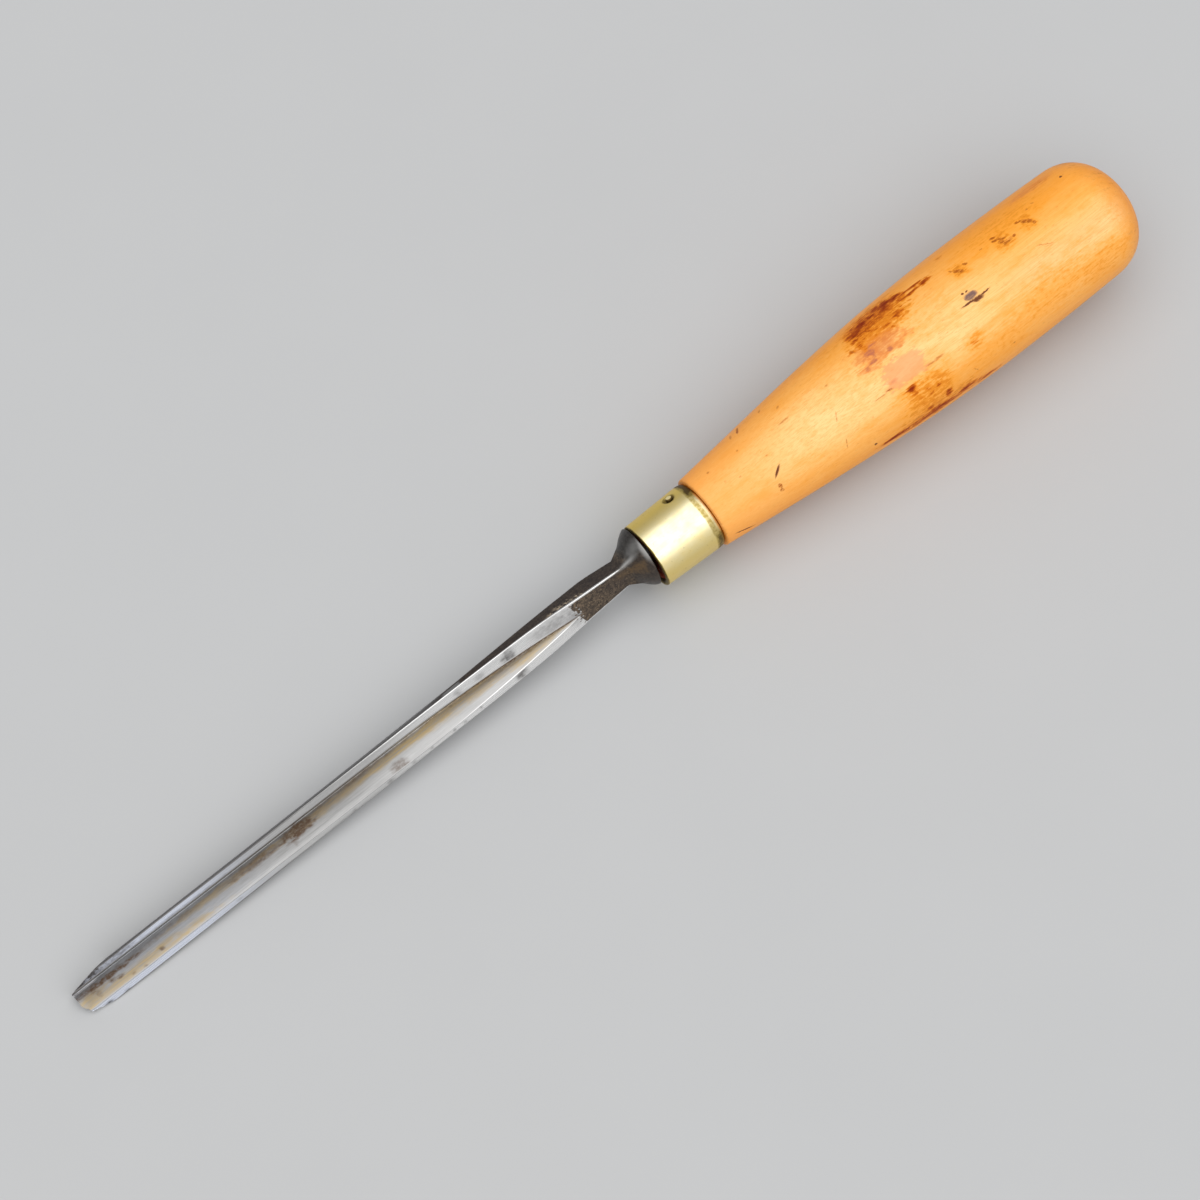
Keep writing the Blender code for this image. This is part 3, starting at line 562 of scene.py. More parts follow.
def boxwood():
    n = Finish("boxwood", TOOL)
    stain_and_shade, wash, flush, blush, ash, grime_and_shade = map(n.field, HANDLE_FIELDS)
    x, y, z = n.node("SeparateXYZ", {0: n.place}).outputs
    turn = n.math("ARCTAN2", y, z)
    wobble = n.streaked(1.6, 2.2, 2)
    station = n.scaled(wobble, 0.5, x)
    angle = n.scaled(wobble, 0.035, turn)
    centred = {0: n.less(station, 0.25), 1: n.less(angle, 0.0175), 2: 1}
    around = n.node("CombineXYZ", centred).outputs[0]
    cut, scratch, nick = (strokes(n, around, places) for places in (CUTS, SCRATCHES, NICKS))
    broad = n.streaked(0.016, 0.3)
    grain = n.streaked(0.05, 1.9, 4, 0.6)
    lines = n.streaked(0.12, 6, 3, 0.6)
    flecks = n.streaked(0.7, 4, 2)
    blotch = n.streaked(0.14, 0.4, 5, 0.65)
    fibre = n.streaked(0.3, 2.6, 4, 0.6)
    mottle = n.streaked(0.9, 1.5, 4, 0.65)
    uneven = n.plus(n.times(fibre, 0.5), n.times(mottle, 0.5))
    # Bare wood, paler along the top as a painted highlight, and amber on its sides as painted shade
    tone = n.plus(n.range(broad, 0.3, 0.7, 0, 0.55), n.range(grain, 0.3, 0.7, 0, 0.45))
    n.colour = n.mix(tone, (0.95, 0.45, 0.098), (0.98, 0.61, 0.228))
    flank = n.math("ABSOLUTE", n.plus(turn, n.range(x, 72, 105, 0.28, 0.46)))
    middle = n.times(n.range(x, 12, 42), n.range(x, 98, 78))
    # Painted highlight: a paler band along the top, moving to the near side towards the butt
    n.coat(n.times(middle, n.range(flank, 0.75, 0.15, 0, 0.6)), (0.985, 0.675, 0.31))
    n.coat(n.times(n.range(x, 88, 100, 0, 0.3), n.range(flank, 0.42, 0.08)), (0.985, 0.69, 0.42))
    # Painted shade: amber on the far side towards the butt, and on both sides up to the dome
    side_shade_amber = (0.95, 0.345, 0.026)
    n.coat(n.times(n.range(x, 78, 98, 0, 0.45), n.range(y, -7, 5)), side_shade_amber)
    n.coat(n.times(n.range(flank, 0.35, 1.2, 0, 0.75), n.range(x, 119, 127, 1, 0.2)), side_shade_amber)
    # Grain, and the redder end by the ferrule
    n.coat(n.range(lines, 0.48, 0.68, 0, 0.46), (0.86, 0.29, 0.028))
    n.coat(n.range(blotch, 0.5, 0.7, 0, 0.5), (0.93, 0.345, 0.034))
    n.coat(n.range(mottle, 0.55, 0.75, 0, 0.3), (0.86, 0.28, 0.03))
    n.coat(n.range(flecks, 0.64, 0.74, 0, 0.5), (0.66, 0.18, 0.02))
    n.coat(n.range(x, 15, 42, 0.6, 0), (0.95, 0.385, 0.085))
    # Golden tints, then the butt with its end grain
    golden = n.times(wash, n.range(uneven, 0.38, 0.58, 0.3, 1.2), clamp=True)
    n.coat(n.range(golden, 0, 0.5, 0, 0.85), (0.93, 0.335, 0.022))
    n.coat(n.range(golden, 0.32, 1, 0, 0.9), (0.54, 0.15, 0.006))
    n.coat(n.range(x, 119, 126.5, 0, 0.85), (0.83, 0.295, 0.026))
    pith = n.node("VectorMath", {0: n.place, 1: (0, 9, -15)}, operation="ADD").outputs[0]
    rings = {"Vector": pith, "Scale": 0.15, "Distortion": 7, "Detail": 4}
    growth = n.node("TexWave", rings, wave_type="RINGS", rings_direction="X").outputs[1]
    n.coat(n.times(growth, n.range(x, 121, 127, 0, 0.16)), (0.62, 0.19, 0.014))
    # Rubbed patches, stains, dirt with some painted shade, and cuts
    red = n.scaled(uneven, 2.6, n.less(flush, 1.3))
    n.coat(n.times(n.range(red, 0, 0.7, 0.25, 0.9), n.range(flush, 0.05, 0.3)), (0.75, 0.24, 0.05))
    bars = n.times(n.range(flush, 0.53, 0.85, 0, 0.85), n.range(uneven, 0.36, 0.54, 0.35, 1))
    n.coat(bars, (0.46, 0.135, 0.07))
    pink = n.scaled(uneven, 1.8, n.less(blush, 1.15))
    n.coat(n.times(n.range(pink, 0, 0.6, 0.02, 0.66), n.range(blush, 0.05, 0.3)), (0.84, 0.335, 0.145))
    # Stains, and painted shade inside the spigot and socket
    dark = n.scaled(uneven, 1.9, n.less(stain_and_shade, 0.95))
    dark = n.times(dark, n.range(stain_and_shade, 0.05, 0.22), clamp=True)
    n.coat(n.range(dark, 0.03, 0.4), (0.78, 0.235, 0.012))
    n.coat(n.range(dark, 0.3, 0.62), (0.47, 0.092, 0.002))
    n.coat(n.range(dark, 0.56, 0.95), (0.245, 0.022, 0))
    # Dirt, with painted shade along the dome's far edge
    dirty = n.times(grime_and_shade, n.range(uneven, 0.36, 0.6, 0.25, 1.25), clamp=True)
    n.coat(n.times(dirty, 0.8), (0.38, 0.125, 0.02))
    n.coat(n.times(ash, n.range(uneven, 0.3, 0.5, 0.65, 1)), (0.205, 0.115, 0.098))
    n.coat(n.times(scratch, n.range(uneven, 0.38, 0.56, 0.15, 0.7)), (0.52, 0.15, 0.02))
    n.coat(n.times(nick, n.range(uneven, 0.38, 0.54, 0.2, 0.95), clamp=True), (0.38, 0.092, 0.006))
    n.coat(n.times(cut, 0.95), (0.125, 0.03, 0.014))
    rough = n.range(n.streaked(0.08, 0.6), 0.3, 0.7, 0.3, 0.42)
    rough = n.blend(n.most(n.most(cut, ash), n.most(dirty, dark)), rough, 0.62)
    normal = n.bump(n.plus(n.times(lines, 0.6), n.times(flecks, -0.4)), 0.35, 0.03)
    normal = n.bump(n.streaked(0.5, 0.9), 0.25, 0.05, normal)
    return n.finish(Roughness=rough, Normal=normal, Specular_IOR_Level=0.12)


def make_ferrule():
    turn = np.linspace(0, math.tau, FERRULE_COLUMNS, endpoint=False)
    roll_x = FERRULE_LENGTH - ROLL_LENGTH
    roll = np.linspace(QUARTER_TURN, 0, ROLL_RINGS)
    tube_x = np.linspace(roll_x, FERRULE_ROUNDING, TUBE_RINGS)[1:]
    front = np.linspace(0, QUARTER_TURN, FRONT_RINGS)[1:]
    inner_x = np.linspace(0, FERRULE_LENGTH, BORE_RINGS)
    x = np.concatenate([
        roll_x + ROLL_LENGTH * np.sin(roll),
        tube_x,
        FERRULE_ROUNDING * (1 - np.sin(front)),
        inner_x,
    ])
    radius = np.concatenate([
        ferrule_radius(roll_x) - ROLL_DROP * (1 - np.cos(roll)),
        ferrule_radius(tube_x),
        FERRULE_FRONT_RADIUS - FERRULE_ROUNDING * (1 - np.cos(front)),
        ferrule_radius(inner_x) - FERRULE_WALL,
    ])
    outer = (np.arange(len(x)) < len(x) - len(inner_x))[:, None]
    x, turn = np.meshgrid(x, turn, indexing="ij")
    y, z = np.sin(turn), np.cos(turn)
    uneven = 0.02 * (1 + fbm(x * 0.16, y * 1.6, z * 1.6, 7))
    radius = radius[:, None] - np.where(outer, uneven, 0)
    # The hole that the pin stands in, a little wider than the pin's head
    across = np.angle(np.exp(1j * (turn - PIN_LEAN))) * radius
    from_pin = np.hypot(x - PIN_X + HOLE_SHIFT, across)
    hole = np.where(outer, fade(1.12, 1.36, from_pin), 0)
    radius = radius - HOLE_DEPTH * hole
    # Tarnish at the rear rim, most of it on the sides, and a darker band where the roll starts; painted
    # shade at both ends, in the hole and round the pin
    wander = fbm(x * 0.5, y * 3.2, z * 3.2, 13)
    far = np.degrees(np.angle(np.exp(1j * (turn + 0.28))))
    dirty = np.maximum(ramp(26, 46, far + 12 * wander), 0.75 * ramp(26, 52, 14 * wander - far))
    lip = band(x, 14.25, 14.6, 14.92, 15)
    rear = ramp(12.9, 13.7, x + 0.5 * wander) * (0.2 + 0.8 * dirty) * (1 - 0.8 * lip * (1 - dirty))
    line = 0.42 * ramp(12.8, 13.2, x + 0.3 * wander) * fade(13.9, 14.35, x)
    rear_edge_shade = 0.7 * ramp(14.86, 15, x)
    front_edge_shade = 0.8 * fade(0.1, 0.3, x + 0.08 * wander)
    pin_ring_shade = 0.6 * fade(1.2, 1.75, from_pin + 0.15 * wander)
    tarnish_and_shade = np.maximum.reduce([rear, line, rear_edge_shade, front_edge_shade, pin_ring_shade, 0.7 * hole])
    # Inside the bore the brass is dark all over, a painted shade
    fields = {"tarnish_and_shade": np.where(outer, tarnish_and_shade, 0.9)}
    return skin("brass_ferrule", around_x(x, radius, turn), TOOL, fields, loop=True)


def brass(name, colour, deep_stain_and_shade, far_side_shade, satin):
    """Brass of this roughness, paler on top as a painted highlight and deeper on its sides as painted
    shade. Its second colour is both its stained tone and the sides' painted shade, and its third the
    painted shade of its far side.
    """
    n = Finish(name, TOOL)
    mottle = n.streaked(0.35, 0.5, 4, 0.6)
    wiped = n.streaked(0.22, 5)
    _, y, z = n.node("SeparateXYZ", {0: n.place}).outputs
    angle = n.math("ARCTAN2", y, z)
    flank = n.math("ABSOLUTE", n.plus(angle, 0.22))
    # Painted highlight on top, and painted shade on the sides and the far side
    n.colour = n.mix(n.range(flank, 0.25, 0.95, 0, 0.85), colour, deep_stain_and_shade)
    n.coat(n.range(angle, 0.2, 0.75, 0, 0.8), far_side_shade)
    n.coat(n.range(mottle, 0.4, 0.75, 0, 0.4), deep_stain_and_shade)
    n.coat(n.range(wiped, 0.5, 0.8, 0, 0.3), deep_stain_and_shade)
    n.coat(n.range(n.noise(n.place, 2.2), 0.66, 0.74, 0, 0.45), (0.3, 0.2, 0.06))
    # Tarnish, and painted shade at the ferrule's ends, in its bore and pin hole and round the pin's head
    tarnish_and_shade = n.field("tarnish_and_shade")
    patchy = n.range(n.noise(n.place, 1.3, 3, 0.6), 0.3, 0.6, 0.65, 1.15)
    dark = n.most(n.times(tarnish_and_shade, patchy, clamp=True), n.range(tarnish_and_shade, 0.8, 0.95))
    n.coat(n.range(dark, 0, 0.5), (0.47, 0.35, 0.1))
    n.coat(n.range(dark, 0.4, 1), (0.115, 0.074, 0.022))
    rough = n.blend(dark, n.range(mottle, 0.3, 0.7, satin - 0.05, satin + 0.05), 0.5)
    metal = n.range(dark, 0.4, 1, 1, 0.85)
    normal = n.bump(mottle, 0.2, 0.05, n.bump(wiped, 0.18, 0.02))
    return n.finish(Roughness=rough, Metallic=metal, Normal=normal)


def make_pin():
    dome = np.linspace(QUARTER_TURN, 0, PIN_DOME_RINGS)[1:]
    shape = np.array(
        [(PIN_FLAT, PIN_HEAD_RISE)]
        + [(PIN_HEAD_RADIUS * math.cos(a), PIN_HEAD_RISE * math.sin(a)) for a in dome]
        + [(PIN_HEAD_RADIUS, -PIN_HEAD_DEPTH), (PIN_RADIUS, -PIN_HEAD_DEPTH)]
        + [(PIN_RADIUS, PIN_POINT - PIN_LENGTH), (PIN_FLAT, -PIN_LENGTH)]
    )
    turn = np.linspace(0, math.tau, PIN_COLUMNS, endpoint=False)
    radius, height = (np.repeat(part[:, None], PIN_COLUMNS, 1) for part in shape.T)
    x, y = radius * np.cos(turn), radius * np.sin(turn)
    on_dome = height >= 0
    beaten = 0.05 * noise(x * 2.4, y * 2.4, seed=4)
    rings = np.stack([x, y, np.where(on_dome, height - np.abs(beaten), height)], -1)
    # Painted shade round the head's edge and on the hidden shank, where it sits in its hole
    edge = np.where(on_dome, ramp(0.54, 0.72, radius), 1)
    stand = Matrix.Translation((PIN_X * MM, 0, ferrule_radius(PIN_X) * MM))
    return skin("brass_pin", rings, TOOL @ turn_x(-PIN_LEAN) @ stand, {"tarnish_and_shade": edge})


def blade_values(x):
    """Width, side, depth and keel at stations, run smoothly between the given ones."""
    stations = BLADE_STATIONS[:, 0]
    i = np.clip(np.searchsorted(stations, x) - 1, 0, len(stations) - 2)
    run = stations[i + 1] - stations[i]
    t = (x - stations[i]) / run
    ease = 2 * t**3 - 3 * t**2
    found = []
    for column in BLADE_STATIONS[:, 1:].T:
        slope = np.gradient(column, stations)
        curve = (1 + ease) * column[i] - ease * column[i + 1]
        curve = curve + run * ((t**3 - 2 * t**2 + t) * slope[i] + (t**3 - t**2) * slope[i + 1])
        found.append(np.where(column[i] == column[i + 1], column[i], curve))
    return found


def blade_contours(x):
    """Each station's rounded outline as (side, height, anchor side, anchor height).

    The anchor is the point of the groove towards which the ground bevel shrinks the outline. Also
    returns, for each point, the number of its side or arc, and how far along that it is.
    """
    width, side, depth, keel = blade_values(x)
    half = width / 2
    past = np.maximum(0, x - GROOVE_ARC_FROM)
    climb = GROOVE_ARC_RADIUS - np.sqrt(GROOVE_ARC_RADIUS**2 - past**2)
    groove = np.maximum(GROOVE_DEPTH - climb, 0)
    mouth = np.maximum(groove * math.tan(GROOVE_HALF_ANGLE), MOUTH_LEAST)
    shift = GROOVE_SKEW * (x - GROOVE_CENTRED_AT)
    top = np.full_like(x, BLADE_TOP)
    low, bottom = top - side, top - depth
    far, root, near = (shift - mouth, top), (shift, top - groove), (shift + mouth, top)
    corners = np.array((
        (-half, top, *far),
        (*far, *far),
        (*root, *root),
        (*near, *near),
        (half, top, *near),
        (half, low, *near),
        (keel / 2, bottom, *root),
        (-keel / 2, bottom, *root),
        (-half, low, *far),
    )).transpose(0, 2, 1)
    ways = [np.roll(corners, step, 0) - corners for step in (1, -1)]
    lengths = [np.hypot(way[..., 0], way[..., 1]) for way in ways]
    trim = np.minimum(np.array(ROUNDING)[:, None], 0.42 * np.minimum(*lengths))
    starts, ends = (corners + way * (trim / length)[..., None] for way, length in zip(ways, lengths))
    outline, places = [], []
    for i, (start, corner, end, following) in enumerate(zip(starts, corners, ends, np.roll(starts, -1, 0))):
        for t in np.linspace(0, 1, ARC_POINTS):
            outline.append((1 - t) ** 2 * start + 2 * t * (1 - t) * corner + t * t * end)
            places.append((i - 0.5, t))
        for t in np.linspace(0, 1, SIDE_CUTS[i] + 1)[1:-1]:
            outline.append(end + (following - end) * t)
            places.append((i, t))
    return np.array(outline).transpose(1, 0, 2), np.array(places)


def bevel_plane(side):
    """A point on one wing's ground bevel and its outward normal, side being 1 for the near wing."""
    mouth = GROOVE_DEPTH * math.tan(GROOVE_HALF_ANGLE)
    shift = GROOVE_SKEW * (TIP_X - GROOVE_CENTRED_AT)
    root = np.array((TIP_X, -shift, BLADE_TOP - GROOVE_DEPTH))
    corner = np.array((TIP_X + EDGE_SWEEP, -shift - side * mouth, BLADE_TOP))
    heel = np.array((TIP_X + KEEL_BEVEL_LENGTH, -side * TIP_KEEL, BLADE_TOP - TIP_DEPTH))
    outward = np.cross(corner - root, heel - root)
    outward /= np.linalg.norm(outward)
    return root, outward if outward[1] * side < 0 else -outward


def blade_body():
    """The blade's rings from the cutting edge to the neck, and the place of each column in the section.

    Also each point's share of the bevels and its place across them. One ring runs along the
    bevels' heel, so that they are cut off cleanly.
    """
    x = [(TIP_X, TIP_X + 0.02), np.linspace(TIP_X + 0.1, TIP_X + HEEL_RING, HEEL_RINGS)]
    for end, count in STRETCHES:
        x.append(np.linspace(x[-1][-1], end, count)[1:])
    x = np.concatenate(x)
    outline, places = blade_contours(x)
    tip, part = outline[0], places[:, 0]
    wings = (
        (*bevel_plane(1), (part >= ROOT) & (part <= KEEL_FAR)),
        (*bevel_plane(-1), (part <= ROOT) | (part >= KEEL_NEAR)),
    )
    edge = np.full(len(tip), TIP_X - EDGE_SWEEP)
    heel = np.full(len(tip), TIP_X)
    for root, outward, wing in wings:
        inner, outer = (
            TIP_X - (np.stack([-side, height], -1) - root[1:]) @ outward[1:] / outward[0]
            for side, height in (tip[:, 2:].T, tip[:, :2].T)
        )
        edge = np.maximum(edge, inner)
        heel = np.where(wing, np.maximum(heel, outer), heel)
    jag = 0.06 * (1 + noise(tip[:, 2] * 1.7, tip[:, 3] * 1.7, seed=31))
    climb = (tip[:, 3] - BLADE_TOP + GROOVE_DEPTH) / GROOVE_DEPTH
    worn = CORNER_WEAR * ramp(0.62, 1, climb) * np.where(tip[:, 2] > 0, 1, 0.1)
    start = np.minimum(edge, TIP_X + EDGE_SWEEP) + jag + worn
    heel = np.maximum(heel, start + BEVEL_LEAST)
    knots = TIP_X + np.array((0, HEEL_RING, EVEN_RING, -TIP_X))
    stations = np.stack([np.interp(x, knots, (*ends, *knots[2:])) for ends in zip(start, heel)], 1)
    rings = np.stack([stations, -outline[..., 0], outline[..., 1]], -1)
    anchors = np.stack([stations, -outline[..., 2], outline[..., 3]], -1)
    ground = np.zeros(stations.shape)
    hone = np.zeros(stations.shape)
    for root, outward, wing in wings:
        over = (rings - root) @ outward
        room = (anchors - root) @ outward
        cut = wing[None] & (over > 1e-5)
        keep = np.clip(-room / np.maximum(over - room, 1e-6), EDGE_THINNEST, 1)
        rings = np.where(cut[..., None], anchors + (rings - anchors) * keep[..., None], rings)
        ground = np.maximum(ground, cut)
        level = np.cross(outward, (1, 0, 0))
        hone = np.where(wing, (rings - root) @ level / np.linalg.norm(level), hone)
    return rings, places, ground, hone


def edge_faces(places, across):
    """Triangles that close the thin ring at the cutting edge between its groove side and its outer side."""
    inner = np.flatnonzero((places[:, 0] >= FAR_LIP) & (places[:, 0] <= NEAR_LIP)).tolist()
    count = len(places)
    outer = [(inner[0] - step) % count for step in range(1, count - len(inner) + 1)]
    faces, i, j = [], 0, 0
    while i < len(inner) - 1 or j < len(outer) - 1:
        outer_done = j == len(outer) - 1
        if outer_done or (i < len(inner) - 1 and across[inner[i + 1]] <= across[outer[j + 1]]):
            faces.append([inner[i + 1], inner[i], outer[j]])
            i += 1
        else:
            faces.append([outer[j], outer[j + 1], inner[i]])
            j += 1
    return faces


def flare_rings(neck):
    """The neck's outline swelling into the round bolster, its back and the hidden tang."""
    outline = np.stack([-neck[:, 1], neck[:, 2]], -1)
    length = np.hypot(*outline.T)
    mean = length.mean()
    unit = outline / length[:, None]
    rings = []
    for share in np.linspace(0, 1, FLARE_RINGS)[1:]:
        x = FLARE_FROM + (FLARE_TO - FLARE_FROM) * share
        radius = mean + (BOLSTER_RADIUS - mean) * (ramp(0, 1, share) + share) / 2
        roundness = ramp(FLARE_FROM, ROUND_BY, x)
        rings.append((x, outline * radius / mean * (1 - roundness) + unit * radius * roundness))
    rounding = -GAP - FLARE_TO
    for turn in np.linspace(0, QUARTER_TURN, BOLSTER_RINGS)[1:]:
        x = FLARE_TO + rounding * math.sin(turn)
        rings.append((x, unit * (BOLSTER_RADIUS - rounding * (1 - math.cos(turn)))))
    square = unit / np.abs(unit).max(axis=1)[:, None]
    end = TANG_LENGTH - GAP
    for x, size in ((-GAP, TANG_BASE), (end - TANG_POINT, TANG_END), (end, TANG_END / 2)):
        rings.append((x, square * size / 2))
    made = []
    for x, points in rings:
        lean = ramp(FLARE_FROM, FLARE_TO, x) if x < 0 else 0
        back = BOLSTER_LEAN * lean * (points @ np.array(BOLSTER_LEAN_SIDE) + BOLSTER_RADIUS)
        made.append(np.stack([x - back, -points[:, 0], points[:, 1]], -1))
    return np.array(made)


def spots(x, across, rag, *rows, soft=0.6):
    """The strongest of some ragged ellipses on the blade: strength, x, place across, and half sizes."""
    found = 0
    for strength, at, level, length, width in rows:
        reach = np.hypot((x - at) / length, (across - level) / width) + rag
        found = np.maximum(found, strength * fade(1 - soft, 1 + 0.4 * soft, reach))
    return found


def make_blade():
    body, places, ground, hone = blade_body()
    rings = np.concatenate([body, flare_rings(body[-1])])
    rows, columns = rings.shape[:2]
    x, u, h = rings[..., 0], -rings[..., 1], rings[..., 2]
    rest = np.zeros((rows - len(body), columns))
    ground, hone = (np.concatenate([part, rest]) for part in (ground, hone))
    kind, along = (np.repeat(part[None], rows, 0) for part in places.T)
    rim = np.isin(kind, (FAR_RIM, NEAR_RIM))
    lip = np.isin(kind, (FAR_LIP, NEAR_LIP))
    wall = np.isin(kind, (FAR_WALL, ROOT, NEAR_WALL))
    near = np.isin(kind, (ROOT, NEAR_WALL))
    arris = np.isin(kind, (FAR_ARRIS, NEAR_ARRIS))
    top = rim | lip | wall | arris
    height = np.where(wall, (h - BLADE_TOP + GROOVE_DEPTH) / GROOVE_DEPTH, 1)
    rag = 0.55 * fbm(x * 0.8, u * 1.8, h * 1.8, 41)
    fine = fbm(x * 2.2, u * 3, h * 3, 47)
    streak = fbm(x * 0.12, u * 3.5, h * 3.5, 53)
    # Forge scale on the shank and bolster, ending raggedly on the top, and dark outer faces
    limit = -18.8 + 0.22 * u + 2.2 * fine + 1.4 * rag
    scale = np.where(top, ramp(-1.4, 0.9, x - limit), ramp(-62, -44, x + 2 * rag))
    notch = band(x, -52.3, -51.2, -48.2, -46.6) * (kind == FAR_SIDE)
    scale = scale * (1 - 0.9 * notch)
    flakes = spots(x, h, rag, (1, -20.5, BLADE_TOP, 4.6, 2.4))
    flakes = flakes * fade(0.25, 0.75, (BLADE_TOP - h) / 2.4 + 0.5 * fine)
    flakes = flakes * np.isin(kind, (FAR_FOOT, FAR_SIDE))
    scale = scale * (1 - 0.75 * flakes * ramp(-0.1, 0.3, fine))
    patina = np.where(top, 0, 0.82 + 0.2 * streak) * (1 - ground) * (1 - 0.9 * notch)
    patina = np.where(arris, 0.85 * fade(-105, -60, x), patina)
    outer_far = np.isin(kind, (FAR_ARRIS, FAR_FOOT, FAR_SIDE))
    patina = patina * np.where(outer_far, ramp(3.2, 5.2, x - TIP_X), ramp(2, 9, x - TIP_X))
    bright = np.where(arris, band(x, -75, -40, -10, -4), 0)
    # Rims are polished by honing, the groove is greyer and lighter towards its mouth
    dulled = band(x, -122, -102, -76, -50)
    polish = np.where(rim | arris, 1 - np.where(u < 0, 0.5, 0.34) * dulled, ground)
    polish = np.maximum(polish, np.where(wall, 0.12 * ramp(0.7, 0.95, height + 0.1 * streak), 0))
    polish = np.where(lip, 0.15 + 0.8 * ramp(-60, -38, x) - 0.7 * ramp(-24, -19.5, x), polish)
    root_line = band(height, 0.02, 0.06, 0.08, 0.13) * near * fade(-142.5, -140.5, x)
    honed = ramp(0.34, 0.5, height) * fade(-146.2, -144.6, x + rag) * near
    paler = ramp(-84, -58, x) * near
    polish = np.maximum.reduce([polish, 0.7 * root_line, 0.13 * honed, 0.22 * paler])
    # A painted blue reflection on the rims and near wall towards the tip
    blue_reflection = np.where(rim, 1, 0.35 * near) * fade(-120, -92, x)
    # Golden and brown stains in the groove
    tan = near * spots(x, height, 0.7 * rag + 0.45 * streak, *TAN_SPOTS)
    rust = near * spots(x, height, rag + 0.2 * streak, *RUST_SPOTS)
    trough = np.where(kind == FAR_WALL, 1, 0.8 * (kind == ROOT)) * band(x, -62, -39, -18.5, -17.2)
    far_wall = np.maximum(band(x, -122, -106, -80, -62), fade(-145, -132, x)) * (kind == FAR_WALL)
    rust = np.maximum.reduce([rust, trough, 0.55 * far_wall])
    # Grey smudges at the cutting edge, on the rims and along the near rim's outer edge
    front = fade(0.3, 1.6, x - TIP_X - EDGE_SWEEP * height + 0.6 * rag)
    front = front * top * np.where(near, 0.35 * fade(0.2, 0.45, height), 0.45)
    outer_edge = ramp(0.55, 1, np.where(kind == NEAR_RIM, along, 0)) * band(x, -108, -96, -62, -52)
    smudge = np.maximum.reduce([
        front, (rim | arris) * spots(x, u, rag, *SMUDGES, soft=0.8), 0.35 * outer_edge * (0.8 + streak),
    ])
    # Rust at the neck, scale rubbed thin towards the bolster's rim, and a painted sheen on the bolster
    bolster = ramp(-5.6, -3.6, x + 0.5 * rag) * (x < -0.2)
    bearing = np.degrees(np.arctan2(u, h))
    ruddy = spots(x, bearing, rag, (1, -3.9, -19, 2, 17), (0.6, -6.8, -22, 1.6, 20))
    painted_sheen = np.maximum.reduce([
        spots(x, bearing, 0.4 * rag, (1, -4.9, -50, 3, 9), soft=0.9),
        spots(x, bearing, 0.4 * rag, (0.9, -0.9, -46, 0.8, 28), soft=0.9) * (x < -0.4),
        spots(x, bearing, 0.5 * rag, (0.55, -2.2, -62, 2.4, 15), soft=0.9),
    ])
    umber = bolster * ramp(-54, -38, bearing + 10 * rag)
    rough = 0.03 * band(x, -22, -17, -0.6, -0.4) * scale
    shrink = 1 - rough * (1 + fbm(x * 1.1, u * 1.1, h * 1.1, 59)) / np.maximum(np.hypot(u, h), 1)
    rings = np.stack([x, -u * shrink, h * shrink], -1)
    scale = np.maximum(scale, ramp(-5.5, -4, x))
    side = np.where(top, 0.5 * ramp(-16, -8, x), 1) * fade(-6.5, -4, x)
    hone = 0.5 + hone / HONE_SPAN
    fields = dict(zip(BLADE_FIELDS, (
        scale, side, patina, bright, polish, blue_reflection, tan, rust, smudge,
        bolster, ruddy, painted_sheen, umber, flakes, ground, hone,
    )))
    return skin("steel_blade", rings, SEAT, fields, start=edge_faces(places, u[0]))


